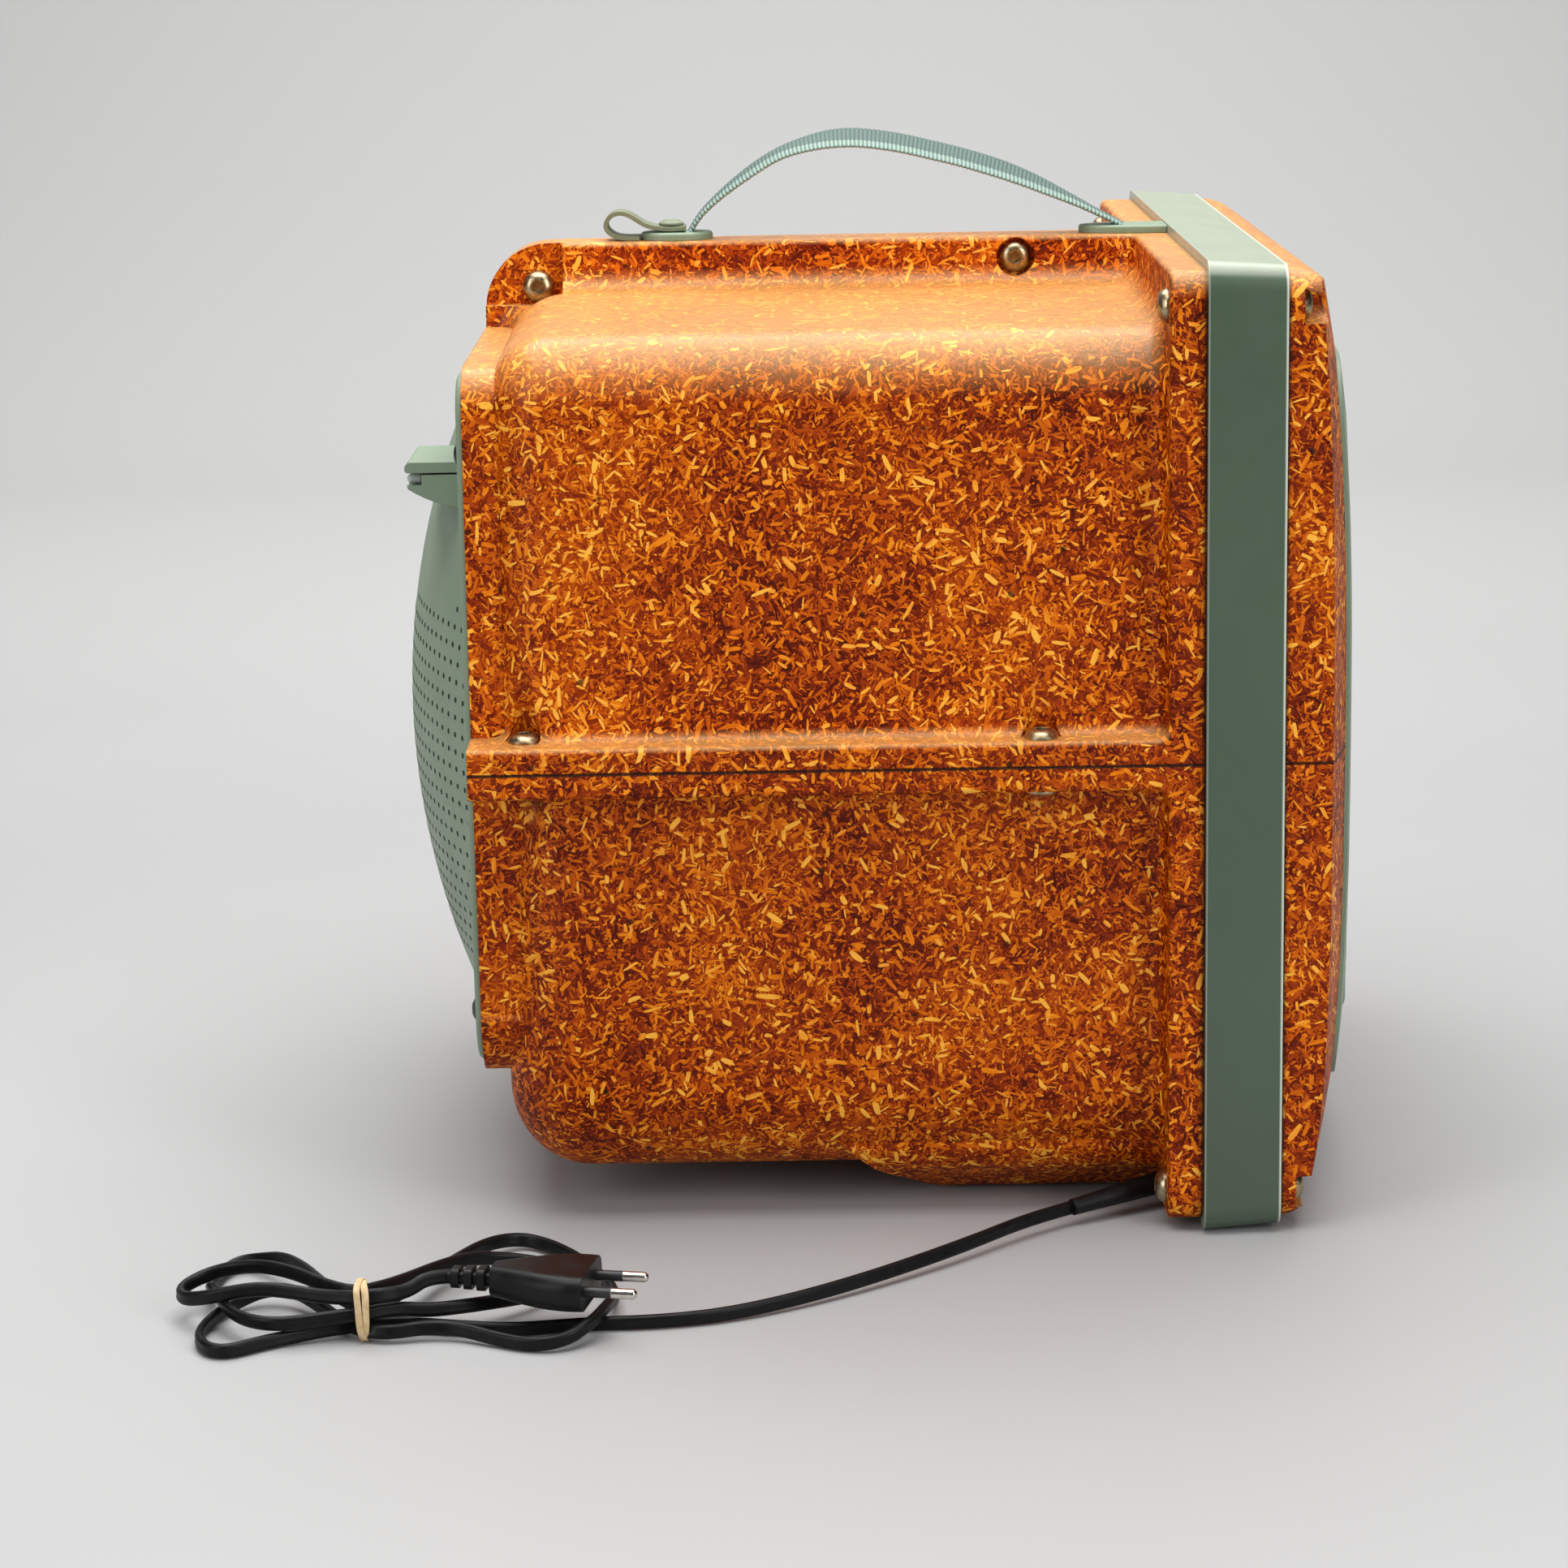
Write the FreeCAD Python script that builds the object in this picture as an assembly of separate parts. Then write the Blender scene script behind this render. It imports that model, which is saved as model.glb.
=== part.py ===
import FreeCAD, Part
import os, math
from FreeCAD import Vector as V

# Portable television: a picture tube in a moulded chipboard casing with a plastic hoop, a rear cover and a
# carrying strap.  Millimetres.  +Z up, screen faces -Y, +X is right when facing the screen.
# Origin: on the floor, under the middle of the set's bounding box.

os.makedirs("parts", exist_ok=True)

# ---------------------------------------------------------------- driving dimensions
W = 376.0            # width over the hoop
H = 380.0            # height of the hoop, floor to top
YC = 123.5           # hoop's rear edge lies at y = -YC
BAND_W = 30.0        # hoop width along Y
BAND_T = 3.8         # hoop thickness
BAND_TAPER = 2.1     # hoop draws in by this on each side towards the screen
ZM = 188.0           # height of the horizontal parting plane
FL_X = 184.2         # half width over the casing flanges
FL_TOP, FL_BOT = 376.2, 3.8
FL_H = 10.0          # thickness of each side flange
Y_REAR = 283.0 - YC  # rear plane of the casing
Y_FL = 14.0 - YC     # rear face of the front flange
Y_JOIN = -15.0 - YC  # joint between front shell and rear shells, hidden under the hoop
WALL = 9.0
PX0, PX1 = 172.0, 165.5   # half width of the body at the parting plane and at the shoulder
TOP_S, TOP_C = 351.6, 357.6   # body top at the shoulder and at the middle
BOT = 16.0           # underside of the body
CRT_Z = 205.0        # height of the tube's axis
SCREW_D = 13.2       # button head diameter
BOLT_Y = [62.5 - YC, 261.5 - YC]   # side flange bolts
BOLT_X = [175.6, 168.0]            # the rear pair stands further in, where the body rounds off
CORNER_X, CORNER_Z = 171.0, [15.8, 362.2]
CORD_W, CORD_T = 5.6, 3.6   # flat two-core lead

def yf(v):
    return v - YC

def save(name, shape):
    if not shape.isValid():
        print("INVALID", name)
    n = len(shape.Solids)
    shape.exportStep("parts/%s.step" % name)
    bb = shape.BoundBox
    print("%-26s solids %2d vol %9.1f cm3  x %7.1f %7.1f y %7.1f %7.1f z %7.1f %7.1f" % (
        name, n, shape.Volume / 1000.0, bb.XMin, bb.XMax, bb.YMin, bb.YMax, bb.ZMin, bb.ZMax))

def box(x0, x1, y0, y1, z0, z1):
    return Part.makeBox(x1 - x0, y1 - y0, z1 - z0, V(x0, y0, z0))

def cyl(p, d, r, h):
    return Part.makeCylinder(r, h, V(*p), V(*d))

def rpoly(pts, rad, to3):
    """Closed wire through 2-D corner points with a radius at each corner."""
    n = len(pts)
    ent = []
    for i in range(n):
        p0, p, p1 = pts[i - 1], pts[i], pts[(i + 1) % n]
        r = rad[i]
        a = (p0[0] - p[0], p0[1] - p[1]); b = (p1[0] - p[0], p1[1] - p[1])
        la, lb = math.hypot(*a), math.hypot(*b)
        a = (a[0] / la, a[1] / la); b = (b[0] / lb, b[1] / lb)
        c = max(-1.0, min(1.0, a[0] * b[0] + a[1] * b[1]))
        th = math.acos(c)
        if r <= 0 or th > math.pi - 1e-4:
            ent.append((p, None, p)); continue
        d = r / math.tan(th / 2)
        t0 = (p[0] + a[0] * d, p[1] + a[1] * d); t1 = (p[0] + b[0] * d, p[1] + b[1] * d)
        bs = (a[0] + b[0], a[1] + b[1]); lbs = math.hypot(*bs); bs = (bs[0] / lbs, bs[1] / lbs)
        k = r / math.sin(th / 2) - r
        ent.append((t0, (p[0] + bs[0] * k, p[1] + bs[1] * k), t1))
    edges = []
    for i in range(n):
        t0, m, t1 = ent[i]
        if m is not None:
            edges.append(Part.Arc(to3(t0), to3(m), to3(t1)).toShape())
        q = ent[(i + 1) % n][0]
        if math.hypot(t1[0] - q[0], t1[1] - q[1]) > 1e-6:
            edges.append(Part.makeLine(to3(t1), to3(q)))
    return Part.Wire(edges)

def prism_y(pts, rad, y0, y1):
    w = rpoly(pts, rad, lambda p: V(p[0], y0, p[1]))
    return Part.Face(w).extrude(V(0, y1 - y0, 0))

def prism_x(pts, rad, x0, x1):
    w = rpoly(pts, rad, lambda p: V(x0, p[0], p[1]))
    return Part.Face(w).extrude(V(x1 - x0, 0, 0))

def prism_z(pts, rad, z0, z1):
    w = rpoly(pts, rad, lambda p: V(p[0], p[1], z0))
    return Part.Face(w).extrude(V(0, 0, z1 - z0))

def rr(x0, x1, z0, z1, r, y0, y1):
    return prism_y([(x0, z0), (x1, z0), (x1, z1), (x0, z1)], [r] * 4, y0, y1)

def try_fillet(shape, r, pick, label):
    es = [e for e in shape.Edges if pick(e)]
    if not es:
        print("no edges for", label); return shape
    for rad in (r, r * 0.8, r * 0.6, r * 0.4):
        try:
            s = shape.makeFillet(rad, es)
            if s.isValid() and len(s.Solids) >= 1 and s.Volume > 0:
                if rad != r:
                    print("fillet", label, "reduced to", rad)
                return s
        except Exception:
            pass
    done = 0
    for e in es:
        for rad in (r, r * 0.6):
            try:
                mid = e.CenterOfMass
                cand = [x for x in shape.Edges if (x.CenterOfMass - mid).Length < 0.05]
                if not cand:
                    break
                s = shape.makeFillet(rad, cand[:1])
                if s.isValid():
                    shape = s; done += 1
                    break
            except Exception:
                pass
    print("fillet", label, "edge by edge", done, "of", len(es))
    return shape

def mid(e):
    a, b = e.ParameterRange
    return e.valueAt((a + b) / 2)

# ---------------------------------------------------------------- rear casing, outer body
Y_END = yf(273.5)    # the swelling body ends here; a narrower rim carries the rear cover
RIM = 11.5           # the rim is this much narrower than the body on each side

def upper_profile(o, y0, y1):
    return prism_y([(-(PX0 - o), ZM), (-(PX1 - o), TOP_S - o), (0, TOP_C - o * 1.3), (PX1 - o, TOP_S - o), (PX0 - o, ZM)],
                   [0, max(27 - o, 12), 0, max(27 - o, 12), 0], y0, y1)

def lower_profile(o, y0, y1, bot=BOT, r=42):
    return prism_y([(-(PX0 - o), ZM), (PX0 - o, ZM), (PX1 + 1.0 - o, bot + o), (-(PX1 + 1.0 - o), bot + o)],
                   [0, 0, max(r - o, 12), max(r - o, 12)], y0, y1)

def round_end(s, y, r, label):
    return try_fillet(s, r, lambda e: abs(mid(e).y - y) < 0.2 and e.BoundBox.YLength < 0.1 and abs(mid(e).z - ZM) > 1.0, label)

def body_upper(o, y0, y1):
    if o:
        a = round_end(upper_profile(o, y0, Y_END - o), Y_END - o, 17, "upper end, inside")
        return a.fuse(upper_profile(RIM + o, y0, y1)).removeSplitter()
    a = round_end(upper_profile(0, y0, Y_END), Y_END, 25, "upper end")
    return a.fuse(upper_profile(RIM, y0, y1)).removeSplitter()

def body_lower(o, y0, y1):
    if o:
        a = round_end(lower_profile(o, y0, Y_END - o), Y_END - o, 25, "lower end, inside")
        return a.fuse(lower_profile(RIM + o, Y_END - 60, y1, 57.5 - RIM, 36)).removeSplitter()
    a = round_end(lower_profile(0, y0, Y_END), Y_END, 33, "lower end")
    return a.fuse(lower_profile(RIM, Y_END - 60, y1, 57.5 - RIM, 36)).removeSplitter()

front_flange = rr(-FL_X, FL_X, FL_BOT, FL_TOP, 11, Y_JOIN, Y_FL)
half = box(-300, 0, -300, 300, -50, 500)
rim_pocket = rr(-172.5, 172.5, 60.0, 348.0, 16, Y_JOIN - 5, yf(4.5))   # room for the tube's rim band and its screws

COVER_SCREWS = [(-140.5, 84.0), (140.5, 84.0), (-137.0, 306.0), (137.0, 306.0)]

# upper left quarter (negative X); the right one is its mirror image
up = body_upper(0, Y_JOIN, Y_REAR)
spine = prism_x([(Y_JOIN, 330), (Y_JOIN, 376.2), (Y_REAR, 376.2), (Y_REAR, 330)], [0, 0, 27, 0], -20, 20).common(
    prism_y([(-16.5, 330), (-13.2, 376.2), (13.2, 376.2), (16.5, 330)], [0, 0, 0, 0], Y_JOIN, Y_REAR))
up = up.fuse([spine, front_flange.common(box(-300, 300, -300, 300, ZM, 500)),
              box(-FL_X, FL_X, Y_FL - 5, Y_REAR, ZM, ZM + FL_H)]).removeSplitter()
up = up.common(half).removeSplitter()
q = up
q = try_fillet(q, 9.0, lambda e: abs(mid(e).y - Y_FL) < 0.3 and e.BoundBox.YLength < 0.1 and -175 < mid(e).x < -17 and mid(e).z > 202
               and e.CenterOfMass.z < 359, "flange/body")
q = try_fillet(q, 9.0, lambda e: e.BoundBox.YLength > 100 and -20 < mid(e).x < -13.5 and 345 < mid(e).z < 362, "spine root")
q = try_fillet(q, 5.0, lambda e: e.BoundBox.YLength > 100 and -173 < mid(e).x < -168 and abs(mid(e).z - ZM - FL_H) < 1.5, "side flange root")
q = try_fillet(q, 3.0, lambda e: e.BoundBox.YLength > 100 and -14 < mid(e).x < -12 and mid(e).z > 374, "spine top")
# screw recesses
for i, y in enumerate(BOLT_Y):
    q = q.cut(Part.makeCone(7.7, (4.2, 1.6)[i], (37, 27)[i], V(-BOLT_X[i], y, ZM + FL_H), V(0, 0, 1)))
q = q.cut(cyl((-40, yf(63), 367.6), (1, 0, 0), 7.9, 30.6))
q = q.cut(box(-26, -9.4, yf(250.5), Y_REAR + 5, 351.0, 400))
# cavity and bolt holes
q = q.cut(body_upper(WALL, Y_JOIN - 5, Y_REAR + 5)).cut(rim_pocket)
for x, y in zip(BOLT_X, BOLT_Y):
    q = q.cut(cyl((-x, y, ZM - 1), (0, 0, 1), 3.1, 30))
for (y, z) in ((yf(63), 367.6), (yf(261), 358.4)):
    q = q.cut(cyl((-30, y, z), (1, 0, 0), 3.1, 60))
q = q.cut(cyl((-CORNER_X, Y_JOIN - 5, CORNER_Z[1]), (0, 1, 0), 4.35, 60))
q = q.fuse(cyl((COVER_SCREWS[2][0] - 4, Y_REAR - 26, COVER_SCREWS[2][1] + 3), (0, 1, 0), 11.5, 26)).removeSplitter()
q = q.cut(cyl((COVER_SCREWS[2][0], Y_REAR - 24, COVER_SCREWS[2][1]), (0, 1, 0), 2.05, 40))
upper_left = q
upper_right = q.mirror(V(0, 0, 0), V(1, 0, 0))

# lower shell
lo = body_lower(0, Y_JOIN, Y_REAR)
lo = lo.fuse([front_flange.common(box(-300, 300, -300, 300, -50, ZM)), box(-FL_X, FL_X, Y_FL - 5, Y_REAR, ZM - FL_H, ZM)]).removeSplitter()
lo = try_fillet(lo, 9.0, lambda e: abs(mid(e).y - Y_FL) < 0.3 and e.BoundBox.YLength < 0.1 and abs(mid(e).x) < 175 and 15 < mid(e).z < 178, "lower flange/body")
lo = try_fillet(lo, 5.0, lambda e: e.BoundBox.YLength > 100 and 168 < abs(mid(e).x) < 173 and abs(mid(e).z - ZM + FL_H) < 1.5, "lower side flange root")
lo = try_fillet(lo, 2.0, lambda e: e.BoundBox.YLength > 100 and abs(mid(e).x) > FL_X - 0.2 and abs(mid(e).z - ZM + FL_H) < 0.3, "lower flange edge")
# moulded foot lobes: blended pads under the front half that stand on the floor
for s in (-1, 1):
    x0, x1 = sorted((s * 84.0, s * 158.0))
    side = prism_x([(yf(14), 40), (yf(14), 6.5), (yf(34), 0.0), (yf(98), 0.0), (yf(126), 15.0), (yf(150), 40)],
                   [0, 6, 22, 26, 30, 0], x0, x1)
    fr = prism_y([(s * 84.0, 40), (s * 90.0, 0.0), (s * 122.0, 0.0), (s * 163.0, 26.0), (s * 160.0, 40)], [0, 10, 30, 24, 0], yf(10), yf(160))
    lo = lo.fuse(side.common(fr))
lo = lo.removeSplitter()
for i, y in enumerate(BOLT_Y):
    for s in (-1, 1):
        lo = lo.cut(Part.makeCone(7.7, (4.2, 1.8)[i], (30, 24)[i], V(s * BOLT_X[i], y, ZM - FL_H), V(0, 0, -1)))
lo = lo.cut(body_lower(WALL, Y_JOIN - 5, Y_REAR + 5)).cut(rim_pocket)
for x, y in zip(BOLT_X, BOLT_Y):
    for s in (-1, 1):
        lo = lo.cut(cyl((s * x, y, ZM - 30), (0, 0, 1), 4.35, 31))
for s in (-1, 1):
    lo = lo.cut(cyl((s * CORNER_X, Y_JOIN - 5, CORNER_Z[0]), (0, 1, 0), 4.35, 60))
CORD_X0, CORD_Z0 = -150.0, 10.4      # cord outlet in the front flange
lo = lo.cut(cyl((CORD_X0, Y_JOIN - 5, CORD_Z0), (0, 1, 0), 4.6, 60))
for s in (0, 1):
    x, z = COVER_SCREWS[s]
    lo = lo.fuse(cyl((x + (5 if s else -5), Y_REAR - 26, z - 3), (0, 1, 0), 11.5, 26))
    lo = lo.cut(cyl((x, Y_REAR - 24, z), (0, 1, 0), 2.05, 40))
lower = lo.removeSplitter()

save("rear_shell_upper_left", upper_left)
save("rear_shell_upper_right", upper_right)
save("rear_shell_lower", lower)

# ---------------------------------------------------------------- hoop
def ring_wire(inset, y, r):
    return rpoly([(-W / 2 + inset, inset), (W / 2 - inset, inset), (W / 2 - inset, H - inset), (-W / 2 + inset, H - inset)], [r] * 4,
                 lambda p: V(p[0], y, p[1]))
yb0, yb1 = -YC, -YC - BAND_W
outer = Part.makeLoft([ring_wire(0, yb0, 10.5), ring_wire(BAND_TAPER, yb1, 9.5)], True, True)
# the underside of the hoop is trued flat so that it stands on the floor
inner = rr(-FL_X, FL_X, FL_BOT, FL_TOP, 11, yb1 - 5, yb0 + 5)
band = outer.cut(inner)
band = band.fuse(box(-150, 150, yb1, yb0, 0, FL_BOT)).cut(inner).removeSplitter()
save("band_ring", band)

# ---------------------------------------------------------------- front shell
def depth(x, z, add=0.0):
    u = min(abs(x) / 184.0, 1.05); v = min(abs(z - ZM) / 186.0, 1.05)
    w = 1 - v ** 3
    g = (1 - u ** 3) / 0.657
    lean = 2.6 * (max(0.0, 75.0 - z) / 60.0) ** 2
    return 42 + 6.5 * w + g * (6.5 + 7 * w) - lean + add

def front_cutter(add):
    rows = []
    for i in range(17):
        x = -200 + 400.0 * i / 16
        rows.append([V(x, yf(-depth(x, -10 + 400.0 * j / 16, add)), -10 + 400.0 * j / 16) for j in range(17)])
    s = Part.BSplineSurface(); s.interpolate(rows)
    return s.toShape().extrude(V(0, -150, 0))

fs = rr(-FL_X, FL_X, FL_BOT, FL_TOP, 13, yf(-90), Y_JOIN)
fs = fs.cut(front_cutter(0.0))
# the upper and lower ends roll over into the front face
for z, s, ROLL_R, ROLL_D in ((FL_TOP, -1, 25.0, 30.4), (FL_BOT, 1, 16.0, 25.5)):
    roll = box(-200, 200, yf(-ROLL_D - 40), yf(-ROLL_D), *sorted((z - s * 5, z + s * ROLL_R))).cut(
        cyl((-210, yf(-ROLL_D), z + s * ROLL_R), (1, 0, 0), ROLL_R, 420))
    fs = fs.cut(roll.cut(box(-250, 250, yf(-ROLL_D - 60), yf(-ROLL_D + 1), *sorted((z + s * ROLL_R, z + s * 200)))))
fs = try_fillet(fs, 2.2, lambda e: mid(e).y < yf(-36) and e.Length > 20, "front shell edge")
inner = rr(-FL_X + WALL, FL_X - WALL, FL_BOT + WALL, FL_TOP - WALL, 8, yf(-90), Y_JOIN + 5).cut(front_cutter(-9.0))
inner = inner.cut(box(-300, 300, yf(-100), yf(-24.0), -10, FL_BOT + 24.0))   # keeps the wall whole behind the lower roll
fs = fs.cut(inner)
BZ = (-152.0, 152.0, 49.5, 336.5)
fs = fs.cut(rr(BZ[0] - 0.6, BZ[1] + 0.6, BZ[2] - 0.6, BZ[3] + 0.6, 24.6, yf(-100), Y_JOIN + 5))
for sx in (-1, 1):
    for z in CORNER_Z:
        fs = fs.fuse(cyl((sx * (CORNER_X - 1.5), yf(-40), z + (1.5 if z < 100 else -1.5)), (0, 1, 0), 11.0, yf(-15) - yf(-40)).common(
            rr(-FL_X, FL_X, FL_BOT, FL_TOP, 13, yf(-90), Y_JOIN)))
        fs = fs.cut(cyl((sx * (CORNER_X + 0.6), yf(-90), z + (-0.4 if z < 100 else 0.4)), (0, 1, 0), 8.4, yf(-36.2) - yf(-90)))
        # the recess is open towards the side
        low = [(yf(-36.2), z - 6.6), (yf(-36.2), z + 6.6), (yf(-60), z + 9.0), (yf(-60), z - 4.6)]
        top = [(yf(-36.2), z - 6.2), (yf(-36.2), z + 6.8), (yf(-60), z - 2.0), (yf(-60), z - 6.2)]
        x0, x1 = sorted((sx * CORNER_X, sx * 200.0))
        fs = fs.cut(prism_x(low if z < 100 else top, [0, 0, 0, 0], x0, x1))
        fs = fs.cut(cyl((sx * CORNER_X, yf(-90), z), (0, 1, 0), 3.1, 100))
EARS = [(sx * 162.0, z) for sx in (-1, 1) for z in (78.0, 332.0)]
for (x, z) in EARS:
    fs = fs.fuse(cyl((x, yf(-46), z), (0, 1, 0), 8.4, 34).cut(front_cutter(-3.0)))
    fs = fs.cut(cyl((x, yf(-36), z), (0, 1, 0), 2.5, 40))
# the tube's corners must clear the bosses
fs = fs.removeSplitter()
save("front_shell", fs)

# ---------------------------------------------------------------- bezel with control lip
OPX, OPZ = 140.0, 106.0
LIP_Y = -70.9         # face of the control lip, from the hoop's rear edge
bz = rr(BZ[0], BZ[1], BZ[2], BZ[3], 24, yf(-90), yf(-34)).cut(front_cutter(1.5))
lip = prism_x([(yf(-40), 55), (yf(LIP_Y), 55), (yf(LIP_Y), 90), (yf(-40), 93)], [0, 6, 9, 0], -66, 66)
lip = try_fillet(lip, 6.0, lambda e: abs(abs(mid(e).x) - 66) < 0.1 and mid(e).y < yf(-50), "lip ends")
bz = bz.fuse(lip)
win0 = rpoly([(-OPX, CRT_Z - OPZ), (OPX, CRT_Z - OPZ), (OPX, CRT_Z + OPZ), (-OPX, CRT_Z + OPZ)], [22] * 4, lambda p: V(p[0], yf(-30), p[1]))
win1 = rpoly([(-OPX - 8, CRT_Z - OPZ - 6), (OPX + 8, CRT_Z - OPZ - 6), (OPX + 8, CRT_Z + OPZ + 8), (-OPX - 8, CRT_Z + OPZ + 8)], [24] * 4, lambda p: V(p[0], yf(-90), p[1]))
bz = bz.cut(Part.makeLoft([win0, win1], True, True))
ring_pocket = rr(BZ[0] + 3, BZ[1] - 3, BZ[2] + 3, BZ[3] - 3, 21, yf(-90), yf(-30)).cut(
    rr(-OPX - 3.0, OPX + 3.0, CRT_Z - OPZ - 3.0, CRT_Z + OPZ + 3.0, 24, yf(-95), yf(-25))).cut(front_cutter(-3.0))
bz = bz.cut(ring_pocket)
bz = bz.cut(box(-62, 62, yf(-68.5), yf(-30), 58.5, 87.0))
CRT_R = 620.0
apex = yf(-66.0)
bz = bz.cut(Part.makeSphere(CRT_R + 1.2, V(0, apex + CRT_R, CRT_Z), V(0, 0, 1), -90, 90, 360).common(
    rr(-154.6, 154.6, CRT_Z - 120.6, CRT_Z + 120.6, 30, yf(-90), yf(-25))))
# button holes: one round power button and four keys, all pressed towards +Y
POWER = (-46.0, 72.0)
KEYS = [(4.0, 72.0), (18.0, 72.0), (34.0, 72.0), (48.0, 72.0)]
bz = bz.cut(cyl((POWER[0], yf(-90), POWER[1]), (0, 1, 0), 7.2, 40))
for (x, z) in KEYS:
    bz = bz.cut(prism_y([(x - 4.7, z - 4.2), (x + 4.7, z - 4.2), (x + 4.7, z + 4.2), (x - 4.7, z + 4.2)], [1.6] * 4, yf(-90), yf(-50)))
IRX = -20.0
bz = bz.cut(prism_y([(IRX - 8, 68.0), (IRX + 8, 68.0), (IRX + 8, 76.0), (IRX - 8, 76.0)], [2.0] * 4, yf(-90), yf(-50)))
SPK = (104.0, 68.5)
for i in range(9):
    x = SPK[0] - 30 + 7.5 * i
    bz = bz.cut(prism_y([(x - 1.2, 57.0), (x + 1.2, 57.0), (x + 1.2, 82.0), (x - 1.2, 82.0)], [1.15] * 4, yf(-90), yf(-45)))
bz = bz.removeSplitter()
if len(bz.Solids) > 1:
    bz = max(bz.Solids, key=lambda s: s.Volume)
save("front_bezel", bz)

ir = prism_y([(IRX - 7.9, 68.1), (IRX + 7.9, 68.1), (IRX + 7.9, 75.9), (IRX - 7.9, 75.9)], [1.9] * 4, yf(-70.7), yf(-66.0))
save("ir_window", ir)
pb = cyl((POWER[0], yf(-72.1), POWER[1]), (0, 1, 0), 7.12, 6.6)
pb = try_fillet(pb, 1.0, lambda e: abs(mid(e).y - yf(-72.1)) < 0.05 or (e.Closed and abs(e.CenterOfMass.y - yf(-72.1)) < 0.05), "power edge")
pb = pb.fuse(cyl((POWER[0], yf(-65.6), POWER[1]), (0, 1, 0), 9.0, 1.6)).fuse(cyl((POWER[0], yf(-64.1), POWER[1]), (0, 1, 0), 2.0, 8.0))
save("power_button", pb)
for i, (x, z) in enumerate(KEYS):
    k = prism_y([(x - 4.6, z - 4.1), (x + 4.6, z - 4.1), (x + 4.6, z + 4.1), (x - 4.6, z + 4.1)], [1.5] * 4, yf(-71.9), yf(-66.0))
    k = k.fuse(box(x - 5.6, x + 5.6, yf(-66.2), yf(-64.8), z - 5.4, z + 5.4)).fuse(cyl((x, yf(-64.9), z), (0, 1, 0), 1.6, 5.0))
    save("key_%d" % (i + 1), k)

# ---------------------------------------------------------------- picture tube
def sup(ax, az, y, n, N=32, zc=CRT_Z):
    """Closed smooth curve between an ellipse (n = 2) and a rounded rectangle (n large)."""
    pts = []
    for i in range(N):
        t = 2 * math.pi * i / N
        c, s = math.cos(t), math.sin(t)
        k = (abs(c) ** n + abs(s) ** n) ** (-1.0 / n)
        pts.append(V(ax * c * k, y, zc + az * s * k))
    b = Part.BSplineCurve(); b.interpolate(pts, PeriodicFlag=True)
    return Part.Wire([b.toShape()])

TX, TZ = 152.0, 118.0
panel = rr(-TX, TX, CRT_Z - TZ, CRT_Z + TZ, 30, yf(-90), yf(8)).common(
    Part.makeSphere(CRT_R, V(0, apex + CRT_R, CRT_Z), V(0, 0, 1), -90, 90, 360))
cav = rr(-TX + 9, TX - 9, CRT_Z - TZ + 9, CRT_Z + TZ - 9, 22, yf(-90), yf(9)).common(
    Part.makeSphere(CRT_R - 11, V(0, apex + CRT_R, CRT_Z), V(0, 0, 1), -90, 90, 360))
panel = panel.cut(cav)
save("crt_panel", panel)

NECK_R = 14.5
def funnel_solid(o):
    a = Part.makeLoft([sup(TX - 3 - o, TZ - 3 - o, yf(8.0), 7), sup(132 - o, 104 - o, yf(34), 5), sup(88 - o, 78 - o, yf(72), 3),
                       sup(44 - o, 43 - o, yf(102), 2.2), sup(22 - o, 22 - o, yf(122), 2.0), sup(NECK_R + 1.5 - o, NECK_R + 1.5 - o, yf(134), 2.0)], True, False)
    return a
fo = funnel_solid(0).fuse(cyl((0, yf(133.5), CRT_Z), (0, 1, 0), NECK_R, 98.5))
fi = funnel_solid(4.5).fuse(cyl((0, yf(133.0), CRT_Z), (0, 1, 0), NECK_R - 2.2, 90))
funnel = fo.cut(fi)
funnel = funnel.cut(box(-200, 200, yf(0), yf(8.0), 0, 400))
save("crt_funnel", funnel)

rim = rr(-TX - 1.6, TX + 1.6, CRT_Z - TZ - 1.6, CRT_Z + TZ + 1.6, 31.6, yf(-22), yf(2))
for (x, z) in EARS:
    sx = 1 if x > 0 else -1; sz = 1 if z > CRT_Z else -1
    ear = prism_y([(x - sx * 34, z - sz * 8), (x - sx * 6, z - sz * 34), (x + sx * 9, z - sz * 9), (x + sx * 9, z + sz * 9), (x - sx * 9, z + sz * 9)],
                  [0, 0, 4, 4, 4], yf(-11.9), yf(-10.0))
    rim = rim.fuse(ear)
    rim = rim.cut(cyl((x, yf(-30), z), (0, 1, 0), 2.75, 40))
rim = rim.cut(rr(-TX, TX, CRT_Z - TZ, CRT_Z + TZ, 30, yf(-30), yf(8))).removeSplitter()
save("crt_rim_band", rim)

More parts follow.
